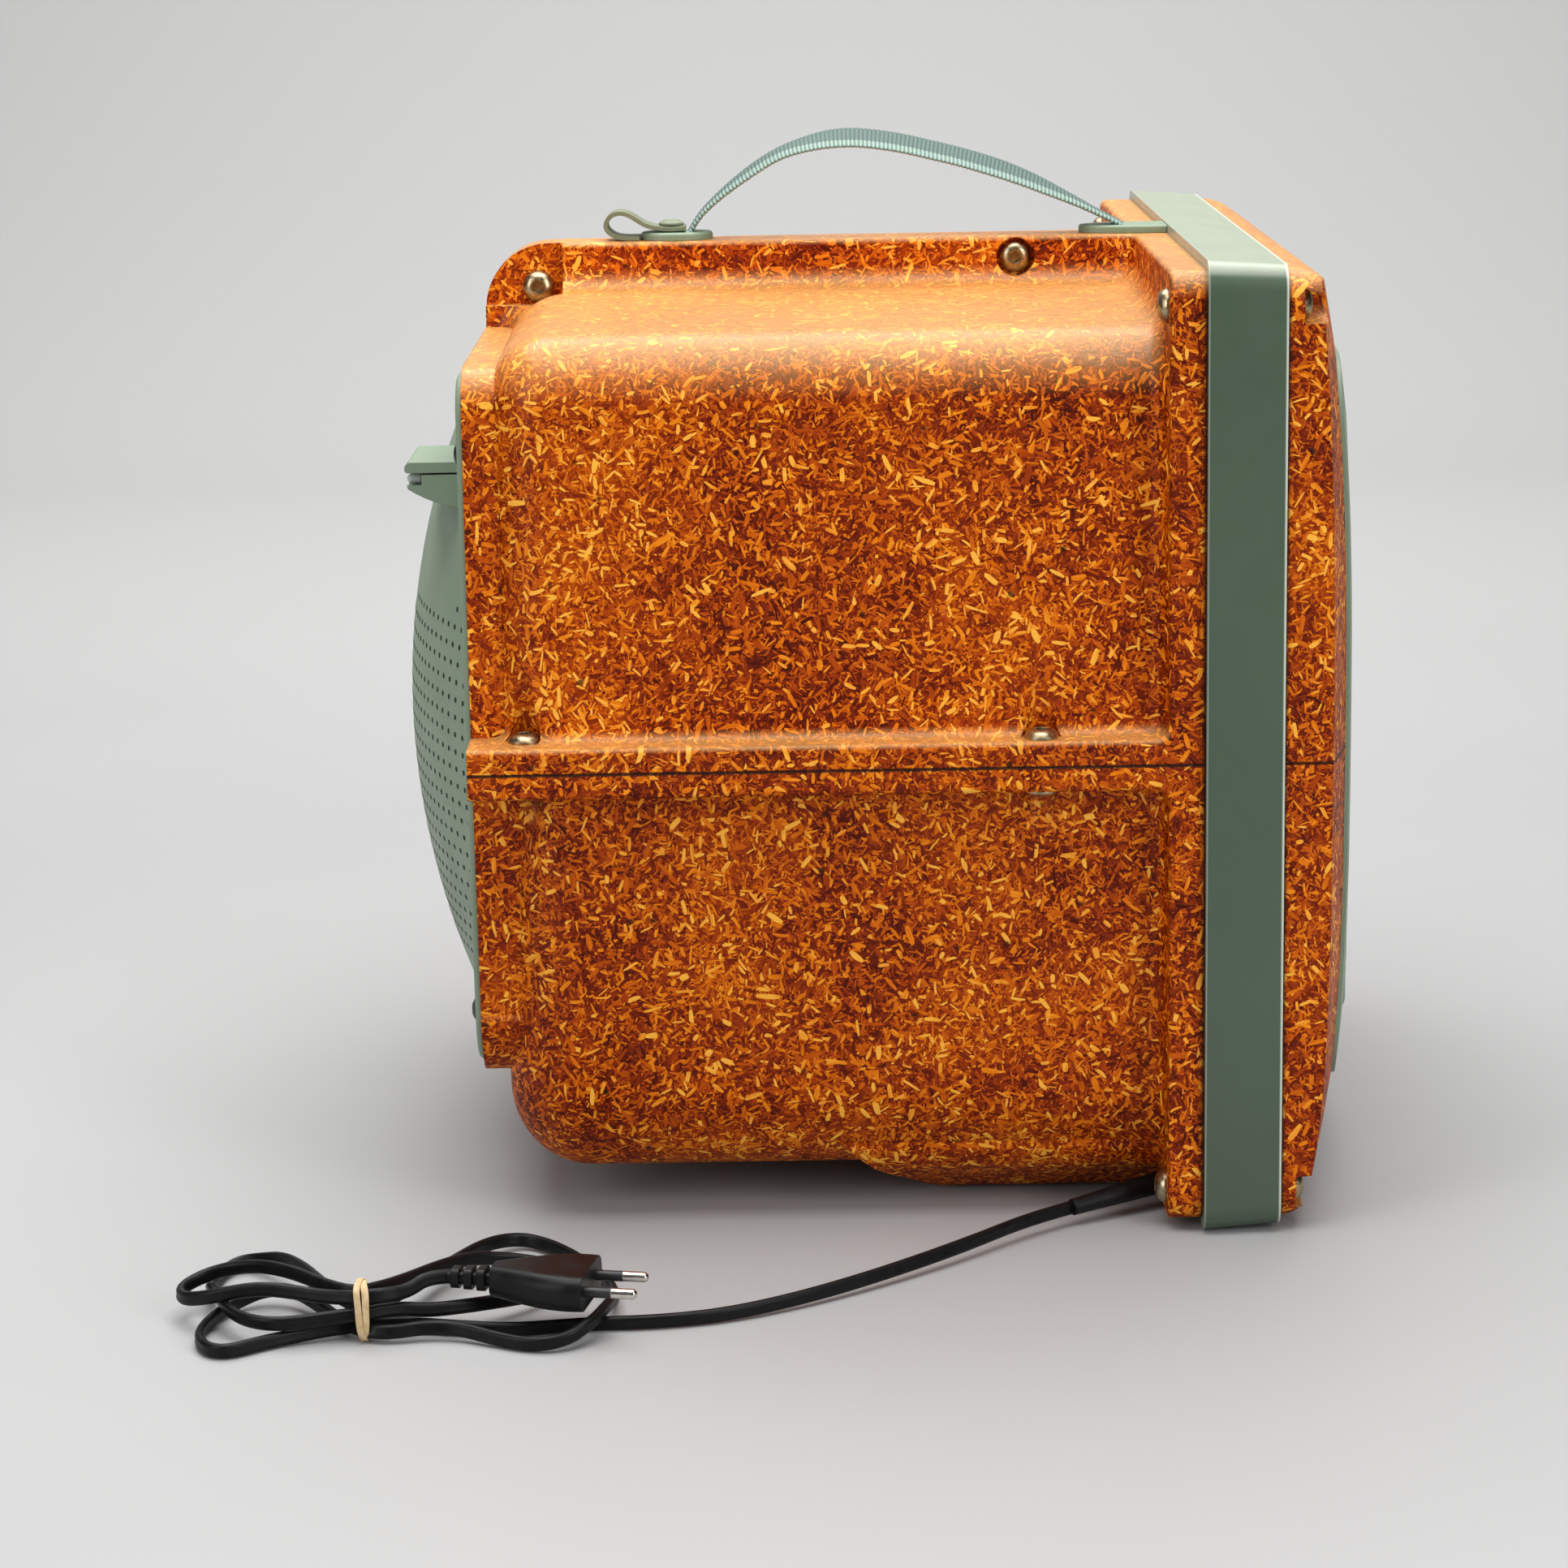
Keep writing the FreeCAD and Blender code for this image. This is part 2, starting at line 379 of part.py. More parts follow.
def button_head(p, d, hd=SCREW_D, hh=4.0, shank_r=3.0, shank=20.0, socket=4.9):
    """Button head with its seat at p, standing out along d, shank the other way."""
    r = hd / 2
    prof = Part.Wire([Part.makeLine(V(0, 0, 0), V(r, 0, 0)), Part.makeLine(V(r, 0, 0), V(r, 0, 0.9)),
                      Part.Arc(V(r, 0, 0.9), V(r * 0.80, 0, hh * 0.74), V(r * 0.50, 0, hh)).toShape(),
                      Part.makeLine(V(r * 0.50, 0, hh), V(0, 0, hh)), Part.makeLine(V(0, 0, hh), V(0, 0, 0))])
    s = Part.Face(prof).revolve(V(0, 0, 0), V(0, 0, 1), 360)
    if shank > 0:
        s = s.fuse(Part.makeCylinder(shank_r, shank, V(0, 0, -shank)))
    if socket:
        R = socket / math.sqrt(3)
        pts = [V(R * math.cos(math.radians(60 * k)), R * math.sin(math.radians(60 * k)), hh - 2.4) for k in range(7)]
        s = s.cut(Part.Face(Part.makePolygon(pts)).extrude(V(0, 0, 5)))
    z = V(0, 0, 1); dv = V(*d)
    s.Placement = FreeCAD.Placement(V(*p), FreeCAD.Rotation(z, dv))
    return s

def sleeve_nut(p, d, length=10.0, socket=4.9, hh=4.0):
    s = button_head((0, 0, 0), (0, 0, 1), hh=hh, shank_r=4.2, shank=length, socket=socket)
    s = s.cut(Part.makeCylinder(3.06, length - 1.5, V(0, 0, -length - 0.01)))
    s.Placement = FreeCAD.Placement(V(*p), FreeCAD.Rotation(V(0, 0, 1), V(*d)))
    return s

save("flange_bolts", Part.makeCompound([button_head((s * x, y, ZM + FL_H), (0, 0, 1), hh=3.6, shank=16.0) for s in (-1, 1) for x, y in zip(BOLT_X, BOLT_Y)]))
save("flange_nuts", Part.makeCompound([sleeve_nut((s * x, y, ZM - FL_H), (0, 0, -1), 9.5, hh=2.8) for s in (-1, 1) for x, y in zip(BOLT_X, BOLT_Y)]))
SP = ((yf(63), 367.6), (yf(261), 358.4))
save("spine_bolts", Part.makeCompound([button_head((-9.4, y, z), (-1, 0, 0), shank=9.0) for (y, z) in SP]))
save("spine_nuts", Part.makeCompound([button_head((9.4, y, z), (1, 0, 0), shank=9.0) for (y, z) in SP]))
save("corner_bolts", Part.makeCompound([button_head((s * CORNER_X, yf(-36.2), z), (0, -1, 0), shank=42.0) for s in (-1, 1) for z in CORNER_Z]))
save("corner_nuts", Part.makeCompound([sleeve_nut((s * CORNER_X, Y_FL, z), (0, 1, 0), 14.0) for s in (-1, 1) for z in CORNER_Z]))
save("tube_screws", Part.makeCompound([button_head((x, yf(-10.0), z), (0, 1, 0), hd=11.0, hh=3.4, shank_r=2.45, shank=22.0, socket=3.5) for (x, z) in EARS]))

# deflection yoke, neck parts
yk = Part.Wire([Part.makeLine(V(15.2, 0, 0), V(15.2, 0, 40)), Part.makeLine(V(15.2, 0, 40), V(34, 0, 40)), Part.makeLine(V(34, 0, 40), V(58, 0, 8)),
                Part.makeLine(V(58, 0, 8), V(58, 0, 0)), Part.makeLine(V(58, 0, 0), V(15.2, 0, 0))])
yoke = Part.Face(yk).revolve(V(0, 0, 0), V(0, 0, 1), 360)
yoke.Placement = FreeCAD.Placement(V(0, yf(98), CRT_Z), FreeCAD.Rotation(V(0, 0, 1), V(0, 1, 0)))
yoke = yoke.cut(funnel_solid(-0.4)).cut(cyl((0, yf(90), CRT_Z), (0, 1, 0), 15.2, 80))
yoke = max(yoke.Solids, key=lambda s: s.Volume)
save("deflection_yoke", yoke)
rings = []
for k in range(3):
    y0 = yf(150 + 7 * k)
    r = cyl((0, y0, CRT_Z), (0, 1, 0), 24, 4).fuse(box(-3, 3, y0, y0 + 4, CRT_Z + 22, CRT_Z + 31)).cut(cyl((0, y0 - 1, CRT_Z), (0, 1, 0), 14.6, 8))
    rings.append(r)
save("purity_rings", Part.makeCompound(rings))
nb = rr(-38, 38, CRT_Z - 42, CRT_Z + 34, 4, yf(222), yf(223.6)).cut(cyl((0, yf(215), CRT_Z), (0, 1, 0), 14.7, 20))
nb = nb.fuse(cyl((0, yf(216), CRT_Z), (0, 1, 0), 19, 6).cut(cyl((0, yf(210), CRT_Z), (0, 1, 0), 14.7, 20)))
for (x, z, w, h, t) in ((-24, -26, 12, 8, 10), (14, -30, 16, 10, 12), (-26, 16, 9, 9, 8), (22, 14, 10, 12, 9)):
    nb = nb.fuse(box(x - w / 2, x + w / 2, yf(223.6), yf(223.6) + t, CRT_Z + z - h / 2, CRT_Z + z + h / 2))
save("neck_board", nb.removeSplitter())

dg = rpoly([(-154, CRT_Z - 119.5), (154, CRT_Z - 119.5), (154, CRT_Z + 119.5), (-154, CRT_Z + 119.5)], [48] * 4, lambda p: V(p[0], yf(13), p[1]))
c0 = Part.Wire([Part.makeCircle(4.5, V(0, yf(13), CRT_Z - 119.5), V(1, 0, 0))])
dgs = Part.Wire(dg.Edges).makePipeShell([c0], True, False)
save("degauss_coil", dgs if dgs.Solids else Part.makeSolid(dgs))

# ---------------------------------------------------------------- chassis
PZ = 45.0
frame = box(-124, 124, yf(66), yf(236), BOT + WALL, PZ).cut(box(-116, 116, yf(74), yf(228), 0, 60)).cut(box(-200, 200, yf(90), yf(210), BOT + WALL - 1, BOT + WALL + 8))
frame = frame.fuse([box(-6, 6, yf(66), yf(236), PZ - 6, PZ)])
save("chassis_frame", frame.removeSplitter())
pcb = box(-138, 138, yf(68), yf(234), PZ, PZ + 1.6)
for (x, y) in ((-134, 74), (134, 74), (-134, 228), (134, 228)):
    pcb = pcb.cut(cyl((x, yf(y), PZ - 1), (0, 0, 1), 1.6, 5))
save("chassis_board", pcb)
Z1 = PZ + 1.6
fly = box(40, 82, yf(170), yf(212), Z1, Z1 + 38).fuse(cyl((61, yf(191), Z1 + 38), (0, 0, 1), 15, 16)).fuse(box(34, 88, yf(186), yf(196), Z1, Z1 + 46))
save("flyback_transformer", fly.removeSplitter())
tun = box(-120, -72, yf(196), yf(226), Z1, Z1 + 24)
save("tuner_module", tun)
hs = box(-40, 26, yf(150), yf(153), Z1, Z1 + 44)
for i in range(7):
    hs = hs.fuse(box(-40 + i * 10.5, -37 + i * 10.5, yf(150), yf(166), Z1, Z1 + 44))
save("heat_sink", hs.removeSplitter())
save("main_capacitor", cyl((96, yf(130), Z1), (0, 0, 1), 15, 42))
caps = [cyl((x, yf(y), Z1), (0, 0, 1), r, h) for (x, y, r, h) in ((-20, 100, 6.5, 22), (4, 104, 5, 16), (30, 98, 8, 26), (-60, 110, 5, 14), (-88, 150, 6.3, 20),
                                                                 (110, 176, 6.3, 22), (-104, 104, 5, 12))]
save("board_capacitors", Part.makeCompound(caps))
smt = box(62, 104, yf(82), yf(112), Z1, Z1 + 30).fuse(box(58, 108, yf(90), yf(104), Z1, Z1 + 34))
save("mains_transformer", smt.removeSplitter())
cb = box(-62, 62, yf(-57.5), yf(-56.0), 59.5, 86.5)
cb = cb.fuse(box(POWER[0] - 9, POWER[0] + 9, yf(-56.0), yf(-40), 63, 81))
cb = cb.cut(cyl((POWER[0], yf(-64), POWER[1]), (0, 1, 0), 2.6, 14))
for (x, z) in KEYS:
    cb = cb.fuse(box(x - 3, x + 3, yf(-59.3), yf(-57.5), z - 3, z + 3)).cut(cyl((x, yf(-61), z), (0, 1, 0), 2.0, 3.4))
save("control_board", cb.removeSplitter())
spf = prism_y([(SPK[0] - 38, 54), (SPK[0] + 38, 54), (SPK[0] + 38, 84.0), (SPK[0] - 38, 84.0)], [12] * 4, yf(-46), yf(-43.5))
spf = Part.makeLoft([rpoly([(SPK[0] - 34, 57), (SPK[0] + 34, 57), (SPK[0] + 34, 81.5), (SPK[0] - 34, 81.5)], [11] * 4, lambda p: V(p[0], yf(-43.5), p[1])),
                     rpoly([(SPK[0] - 16, 61), (SPK[0] + 16, 61), (SPK[0] + 16, 78), (SPK[0] - 16, 78)], [8] * 4, lambda p: V(p[0], yf(-30), p[1]))], True, True).fuse(spf)
spf = spf.fuse(cyl((SPK[0], yf(-30), 69.5), (0, 1, 0), 14, 10))
save("loudspeaker", spf.removeSplitter())

# ---------------------------------------------------------------- rear cover
DR = 313.0
dome_c = (0, yf(319.1) - DR, 187.0)
def cover_outline(i):
    k = RIM + 3.5 + i
    return ([(-(PX0 - k) + 5.0, 61.5 + i), (PX0 - k - 5.0, 61.5 + i), (PX0 - k, ZM), (PX1 - k, 337.0 - i), (-(PX1 - k), 337.0 - i), (-(PX0 - k), ZM)],
            [22 - min(i, 9), 22 - min(i, 9), 0, 16 - min(i, 9), 16 - min(i, 9), 0])
def cover_prism(i, y0, y1):
    p, r = cover_outline(i)
    return prism_y(p, r, y0, y1)
T = 3.0
cover = cover_prism(0, Y_REAR, Y_REAR + 2.6)
sph = Part.makeSphere(DR, V(*dome_c), V(0, 0, 1), -90, 90, 360)
dome = sph.common(cover_prism(6, Y_REAR + 1.0, Y_REAR + 60))
cover = cover.fuse(dome).removeSplitter()
cover = try_fillet(cover, 5.0, lambda e: abs(mid(e).y - (Y_REAR + 2.6)) < 0.2 and e.BoundBox.YLength < 0.3 and abs(mid(e).x) < 150 and e.BoundBox.XLength < 320 and 70 < mid(e).z < 335, "dome root")
# bracket on the upper near corner: a flat shelf over a curved scoop, with a slot between them for the aerial's tip
BX0, BX1 = -104.0, -53.0
AX, AZ = -98.0, 291.4        # aerial axis, along Y
shelf = prism_x([(yf(276), 298.4), (yf(276), 294.2), (yf(310.4), 294.2), (yf(310.4), 298.4)], [0, 0, 1.4, 2.4], BX0, BX1)
scoop = Part.Face(Part.Wire([Part.makeLine(V(BX0, yf(276), 293.4), V(BX0, yf(304.0), 293.4)), Part.makeLine(V(BX0, yf(304.0), 293.4), V(BX0, yf(304.0), 289.2)),
                             Part.makeLine(V(BX0, yf(304.0), 289.2), V(BX0, yf(309.6), 289.2)), Part.makeLine(V(BX0, yf(309.6), 289.2), V(BX0, yf(309.2), 287.8)),
                             Part.Arc(V(BX0, yf(309.2), 287.8), V(BX0, yf(299.0), 282.6), V(BX0, yf(276), 279.8)).toShape(),
                             Part.makeLine(V(BX0, yf(276), 279.8), V(BX0, yf(276), 293.4))])).extrude(V(BX1 - BX0, 0, 0))
web = box(BX0 + 14, BX1 - 6, yf(276), yf(304), 290, 295)
cover = cover.fuse([shelf, scoop, web]).removeSplitter()
hollow = Part.makeSphere(DR - T, V(*dome_c), V(0, 0, 1), -90, 90, 360).common(cover_prism(9, Y_REAR - 40, Y_REAR + 60))
cover = cover.cut(hollow)
cover = cover.cut(box(-300, 300, -300, Y_REAR, -50, 500))
cover = cover.fuse(cyl((AX, Y_REAR, AZ), (0, 1, 0), 6.5, 4.0).common(cover_prism(0, Y_REAR, Y_REAR + 30)))
cover = cover.cut(cyl((AX, Y_REAR - 5, AZ), (0, 1, 0), 3.4, yf(314) - Y_REAR + 5))
cover = cover.cut(box(BX0 - 1, AX + 2.4, yf(303.8), yf(312), 289.2, 294.2))

for (x, z) in COVER_SCREWS:
    cover = cover.cut(cyl((x, Y_REAR - 1, z), (0, 1, 0), 2.2, 10))
SOCK = (112.0, 84.0)
cover = cover.cut(cyl((SOCK[0], Y_REAR - 1, SOCK[1]), (0, 1, 0), 7.6, 60))
cover = cover.removeSplitter()
cover = max(cover.Solids, key=lambda s: s.Volume)
save("rear_cover", cover)
save("cover_screws", Part.makeCompound([button_head((x, Y_REAR + 2.6, z), (0, 1, 0), hd=8.4, hh=2.0, shank_r=2.0, shank=20.0, socket=3.0) for (x, z) in COVER_SCREWS]))
sk = cyl((SOCK[0], Y_REAR - 14, SOCK[1]), (0, 1, 0), 7.5, 24).cut(cyl((SOCK[0], Y_REAR - 6, SOCK[1]), (0, 1, 0), 4.75, 30))
sk = sk.fuse(cyl((SOCK[0], Y_REAR - 8, SOCK[1]), (0, 1, 0), 1.2, 14))
save("aerial_socket", sk.removeSplitter())

# telescopic aerial, pushed home: each section slides out along +Y
root = cyl((AX, yf(124), AZ), (0, 1, 0), 3.6, 158.9).cut(cyl((AX, yf(126), AZ), (0, 1, 0), 3.05, 170))
root = root.fuse(cyl((AX, yf(124), AZ), (0, 1, 0), 5.5, 6).cut(cyl((AX, yf(126), AZ), (0, 1, 0), 3.05, 30)))
save("aerial_root", root.removeSplitter())
s1 = cyl((AX, yf(128), AZ), (0, 1, 0), 3.0, 175.0).cut(cyl((AX, yf(129), AZ), (0, 1, 0), 2.55, 190))
s2 = cyl((AX, yf(129.4), AZ), (0, 1, 0), 2.5, 174.0).cut(cyl((AX, yf(130.4), AZ), (0, 1, 0), 2.05, 190))
s3 = cyl((AX, yf(130.8), AZ), (0, 1, 0), 2.0, 173.2)
tip = cyl((AX, yf(304.4), AZ), (0, 1, 0), 1.95, 3.6).fuse(Part.makeSphere(1.95, V(AX, yf(308.0), AZ)))
s3 = s3.fuse(cyl((AX, yf(303.9), AZ), (0, 1, 0), 1.6, 0.5))
save("aerial_section_1", s1)
save("aerial_section_2", s2)
save("aerial_section_3", s3.removeSplitter())
save("aerial_tip", tip.removeSplitter())

# ---------------------------------------------------------------- carrying strap and its plates
def strip(pts, t, x0, x1):
    """Closed solid of a thin strip whose centreline is pts (y, z), thickness t, from x0 to x1."""
    c = Part.BSplineCurve(); c.interpolate([V(x0, p[0], p[1]) for p in pts])
    n = 40
    a, b = [], []
    for i in range(n + 1):
        u = c.FirstParameter + (c.LastParameter - c.FirstParameter) * i / n
        p = c.value(u); d = c.tangent(u)[0]
        nn = V(0, -d.z, d.y)
        a.append(p + nn * (t / 2)); b.append(p - nn * (t / 2))
    ca = Part.BSplineCurve(); ca.interpolate(a)
    cb_ = Part.BSplineCurve(); cb_.interpolate(b)
    w = Part.Wire([ca.toShape(), Part.makeLine(a[-1], b[-1]), cb_.toShape(), Part.makeLine(b[0], a[0])])
    return Part.Face(w).extrude(V(x1 - x0, 0, 0))

TOPZ = FL_TOP
pl = Part.Face(Part.Wire([Part.Ellipse(V(0, yf(203.3), TOPZ + 0.05), 15.0, 11.4).toShape()]))
pl.rotate(V(0, yf(203.3), TOPZ), V(0, 0, 1), 90)
pl = pl.extrude(V(0, 0, 3.2))
pl = try_fillet(pl, 1.3, lambda e: e.CenterOfMass.z > TOPZ + 3, "rear plate edge")
save("strap_plate_rear", pl)
pf = Part.Face(Part.Wire([Part.Ellipse(V(0, yf(13.5), TOPZ + 0.05), 22.5, 11.4).toShape()]))
pf.rotate(V(0, yf(13.5), TOPZ), V(0, 0, 1), 90)
pf = pf.extrude(V(0, 0, 3.2)).common(box(-20, 20, yf(13.5), yf(60), 300, 400)).fuse(box(-11.4, 11.4, yf(0.1), yf(13.5), TOPZ + 0.05, TOPZ + 3.25)).removeSplitter()
pf = try_fillet(pf, 1.1, lambda e: e.CenterOfMass.z > TOPZ + 3.1 and mid(e).y > yf(0.3), "front plate edge")
save("strap_plate_front", pf)

STRAP = [(199.2, 376.9), (197.6, 379.4), (191.0, 388.6), (177.5, 400.6), (162.0, 410.6), (146.5, 415.0), (130.0, 416.2), (113.0, 414.2), (96.0, 410.3), (79.5, 405.8),
         (57.5, 398.4), (39.5, 390.6), (26.0, 383.4), (17.0, 378.6), (14.2, 377.0)]
sc = Part.BSplineCurve(); sc.interpolate([V(0, yf(a), b) for a, b in STRAP])
def strap_station(k):
    u = sc.FirstParameter + (sc.LastParameter - sc.FirstParameter) * k
    p = sc.value(u); d = sc.tangent(u)[0]; d.normalize()
    e = math.sin(math.pi * min(max((k - 0.04) / 0.92, 0), 1))
    tilt = math.radians(2 + 26 * e ** 1.3)
    half = 7.0 + 4.0 * min(1.0, 2.2 * e)
    n = V(0, -d.z, d.y)
    if n.z < 0:
        n = n * -1
    wv = V(math.cos(tilt), 0, 0) + n * math.sin(tilt)
    nv = n * math.cos(tilt) - V(1, 0, 0) * math.sin(tilt)
    return p, wv, nv, half
ws = []
for i in range(19):
    p, wv, nv, half = strap_station(i / 18.0)
    q = [p + wv * half + nv * 0.9, p - wv * half + nv * 0.9, p - wv * half - nv * 0.9, p + wv * half - nv * 0.9]
    ws.append(Part.makePolygon(q + [q[0]]))
strap = Part.makeLoft(ws, True, False)
save("strap", strap)
tab = strip([(yf(199.6), 381.2), (yf(211), 381.2), (yf(217), 383.0), (yf(222), 386.2), (yf(227), 387.6), (yf(231.3), 385.6), (yf(232.6), 382.0), (yf(229.6), 378.6), (yf(224.5), 377.3), (yf(218.6), 377.2)], 1.7, -7.5, 7.5)
tab = tab.common(box(-20, 20, -300, 300, TOPZ + 0.02, 500))
tab = tab.cut(pl)
save("strap_loop_tab", tab)
rv = Part.makeCylinder(5.2, 0.9, V(0, yf(205.5), 382.08)).fuse(Part.makeCone(5.2, 3.0, 1.3, V(0, yf(205.5), 382.98))).fuse(Part.makeCylinder(2.0, 3.0, V(0, yf(205.5), 379.4)))
save("strap_rivet", rv.removeSplitter())

# ---------------------------------------------------------------- mains lead
P0 = V(CORD_X0, Y_FL + 0.0, CORD_Z0)
P1 = V(-171.6, yf(50.6), 7.5)
dv = (P1 - P0); L = dv.Length; dv.normalize()
gl = cyl((CORD_X0, yf(-8), CORD_Z0), (0, 1, 0), 4.5, 22.0)
gl = gl.fuse(Part.makeSphere(4.5, P0)).fuse(Part.makeCone(4.5, 3.3, L, P0, dv))
gl = gl.removeSplitter()
save("strain_relief", gl)

ROUTE = [P1, V(-184.5, yf(68.6), 7.2), V(-211.0, yf(94.0), 6.2), V(-238.5, yf(125.0), 5.0), V(-261.5, yf(155.5), 4.0), V(-277.5, yf(184.5), 3.2), V(-283.5, yf(209.5), 3.0), V(-284.5, yf(232.0), 3.0)]
def route_wire(P):
    n = len(P)
    runs = [(P[i + 1] - P[i]).Length for i in range(n - 1)]
    edges = []; cur = P[0]; radii = []
    for i in range(1, n - 1):
        a = P[i] - P[i - 1]; b = P[i + 1] - P[i]
        a.normalize(); b.normalize()
        turn = a.getAngle(b)
        r = 0.45 * min(runs[i - 1], runs[i]) / math.tan(turn / 2)
        d = r * math.tan(turn / 2)
        t0 = P[i] - a * d; t1 = P[i] + b * d
        bis = (b - a); bis.normalize()
        k = r / math.cos(turn / 2) - r
        m = P[i] + bis * k
        edges.append(Part.LineSegment(cur, t0).toShape()); edges.append(Part.Arc(t0, m, t1).toShape())
        radii.append(r); cur = t1
    edges.append(Part.LineSegment(cur, P[-1]).toShape())
    return Part.Wire(edges), radii
rw, radii = route_wire(ROUTE)
print("cord radii mm", [round(r, 1) for r in radii], "length", round(rw.Length, 1), "turns")
def flat_section(p, d, w, t):
    """Two-core flat section, upright, rounded ends, at p facing d."""
    s = V(d.y, -d.x, 0); s.normalize(); u = s.cross(d); u.normalize()
    if u.z < 0:
        u = u * -1
    h = w / 2 - t / 2
    a1 = Part.Arc(p + u * h + s * (t / 2), p + u * (w / 2), p + u * h - s * (t / 2)).toShape()
    a2 = Part.Arc(p - u * h - s * (t / 2), p - u * (w / 2), p - u * h + s * (t / 2)).toShape()
    return Part.Wire([a1, Part.makeLine(p + u * h - s * (t / 2), p - u * h - s * (t / 2)), a2, Part.makeLine(p - u * h + s * (t / 2), p + u * h + s * (t / 2))])
d0 = ROUTE[1] - ROUTE[0]; d0.normalize()
ps = Part.BRepOffsetAPI.MakePipeShell(rw)
ps.setBiNormalMode(V(0, 0, 1))
ps.add(flat_section(ROUTE[0], d0, CORD_W, CORD_T))
ps.build(); ps.makeSolid()
cord = ps.shape()
print("cord volume / section x length", round(cord.Volume / (Part.Face(flat_section(ROUTE[0], d0, CORD_W, CORD_T)).Area * rw.Length), 4))

def ell(xc, y, zc, w, h):
    e = Part.Ellipse(V(0, 0, 0), max(w, h) / 2, min(w, h) / 2).toShape()
    if h > w:
        e.rotate(V(0, 0, 0), V(0, 0, 1), 90)
    e.rotate(V(0, 0, 0), V(1, 0, 0), 90)
    e.translate(V(xc, y, zc))
    return Part.Wire([e])
HANK = [(392, -268, 9, 40, 9), (383, -267, 10, 92, 17), (363, -268, 12, 104, 22), (341, -276, 14, 70, 25), (319, -287, 15.3, 36, 27.4), (298, -282, 15, 60, 27.5),
        (272, -270, 14, 104, 26), (249, -263, 12.6, 108, 23), (233, -262, 9.4, 88, 16), (226, -262, 7.0, 54, 8)]
hank = Part.makeLoft([ell(x, yf(y), z, w, h) for (y, x, z, w, h) in HANK], True, False)
# plug: face at PF, pins along the plug's axis, lying on the hank
PF = V(-286.0, yf(235.0), 19.0); PYAW = -11.0
def rrx(w, h, r, y):
    return rpoly([(-w / 2, -h / 2), (w / 2, -h / 2), (w / 2, h / 2), (-w / 2, h / 2)], [r] * 4, lambda p: V(p[0], y, p[1]))
plug = Part.makeLoft([rrx(33.5, 13.6, 5.5, 0), rrx(34.0, 13.7, 5.5, 9), rrx(27, 13.2, 5.5, 22), rrx(14.5, 11.5, 5.0, 37)], True, False)
for i in range(3):
    plug = plug.fuse(rr(-4.6 + 0.3 * i, 4.6 - 0.3 * i, -4.1 + 0.2 * i, 4.1 - 0.2 * i, 2.2, 39.5 + 5.0 * i, 42.6 + 5.0 * i))
plug = plug.fuse(rr(-2.9, 2.9, -2.4, 2.4, 1.6, 36, 54.4)).removeSplitter()
pins = []
for s in (-1, 1):
    pin = Part.makeCylinder(1.98, 9.0, V(s * 9.4, -0.0, 0), V(0, -1, 0)).fuse(Part.makeCylinder(2.0, 9.0, V(s * 9.4, -9.0, 0), V(0, -1, 0))).fuse(Part.makeSphere(2.0, V(s * 9.4, -17.6, 0)))
    pins.append(pin.removeSplitter())
pins = Part.makeCompound(pins)
for sh in (plug, pins):
    sh.Placement = FreeCAD.Placement(PF, FreeCAD.Rotation(V(0, 0, 1), PYAW))
hank = hank.cut(plug)
hank = max(hank.Solids, key=lambda s: s.Volume)
cord = cord.cut(hank)
cord = max(cord.Solids, key=lambda s: s.Volume)
save("mains_cord", cord)
print("hank solids", len(hank.Solids))
rb = Part.Face(ell(-287, yf(315.6), 15.3, 38.8, 30.2)).extrude(V(0, 6.4, 0)).cut(hank)
rb = max(rb.Solids, key=lambda s: s.Volume)
save("cord_hank", hank)
save("rubber_band", rb)
save("plug_body", plug)
save("plug_pins", pins)
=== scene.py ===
import math, random
import bpy
from mathutils import Vector, Matrix


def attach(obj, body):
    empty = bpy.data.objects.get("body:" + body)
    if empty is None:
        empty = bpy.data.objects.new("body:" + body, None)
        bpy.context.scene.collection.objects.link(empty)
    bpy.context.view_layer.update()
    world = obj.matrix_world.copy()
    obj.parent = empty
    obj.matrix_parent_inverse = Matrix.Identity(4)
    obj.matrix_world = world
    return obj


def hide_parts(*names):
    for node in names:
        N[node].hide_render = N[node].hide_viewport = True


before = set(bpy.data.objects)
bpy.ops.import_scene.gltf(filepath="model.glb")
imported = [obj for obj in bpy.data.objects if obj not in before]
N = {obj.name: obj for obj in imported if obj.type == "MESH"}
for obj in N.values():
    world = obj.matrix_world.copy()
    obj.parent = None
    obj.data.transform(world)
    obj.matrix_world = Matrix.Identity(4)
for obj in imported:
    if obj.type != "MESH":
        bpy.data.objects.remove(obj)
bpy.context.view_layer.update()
scene = bpy.context.scene
rng = random.Random(41)


def mm(*p):
    return Vector([c * 0.001 for c in p])


# ------------------------------------------------------------------ camera
cam_data = bpy.data.cameras.new("cam")
cam_data.sensor_width = 36.0
cam_data.sensor_fit = "HORIZONTAL"
cam_data.lens = 93.93
cam_data.clip_start = 0.05
cam_data.clip_end = 60.0
cam = bpy.data.objects.new("cam", cam_data)
scene.collection.objects.link(cam)
yaw, pitch, roll = 0.00623198, 0.216126318, -0.0177017639
fw = Vector((math.cos(pitch) * math.cos(yaw), math.cos(pitch) * math.sin(yaw), -math.sin(pitch)))
right0 = Vector((math.sin(yaw), -math.cos(yaw), 0.0))
up0 = right0.cross(fw)
right = right0 * math.cos(roll) + up0 * math.sin(roll)
up = up0 * math.cos(roll) - right0 * math.sin(roll)
rot = Matrix((right, up, -fw)).transposed().to_4x4()
cam.matrix_world = Matrix.Translation(Vector((-1.71451, 0.02853, 0.51926))) @ rot
scene.camera = cam


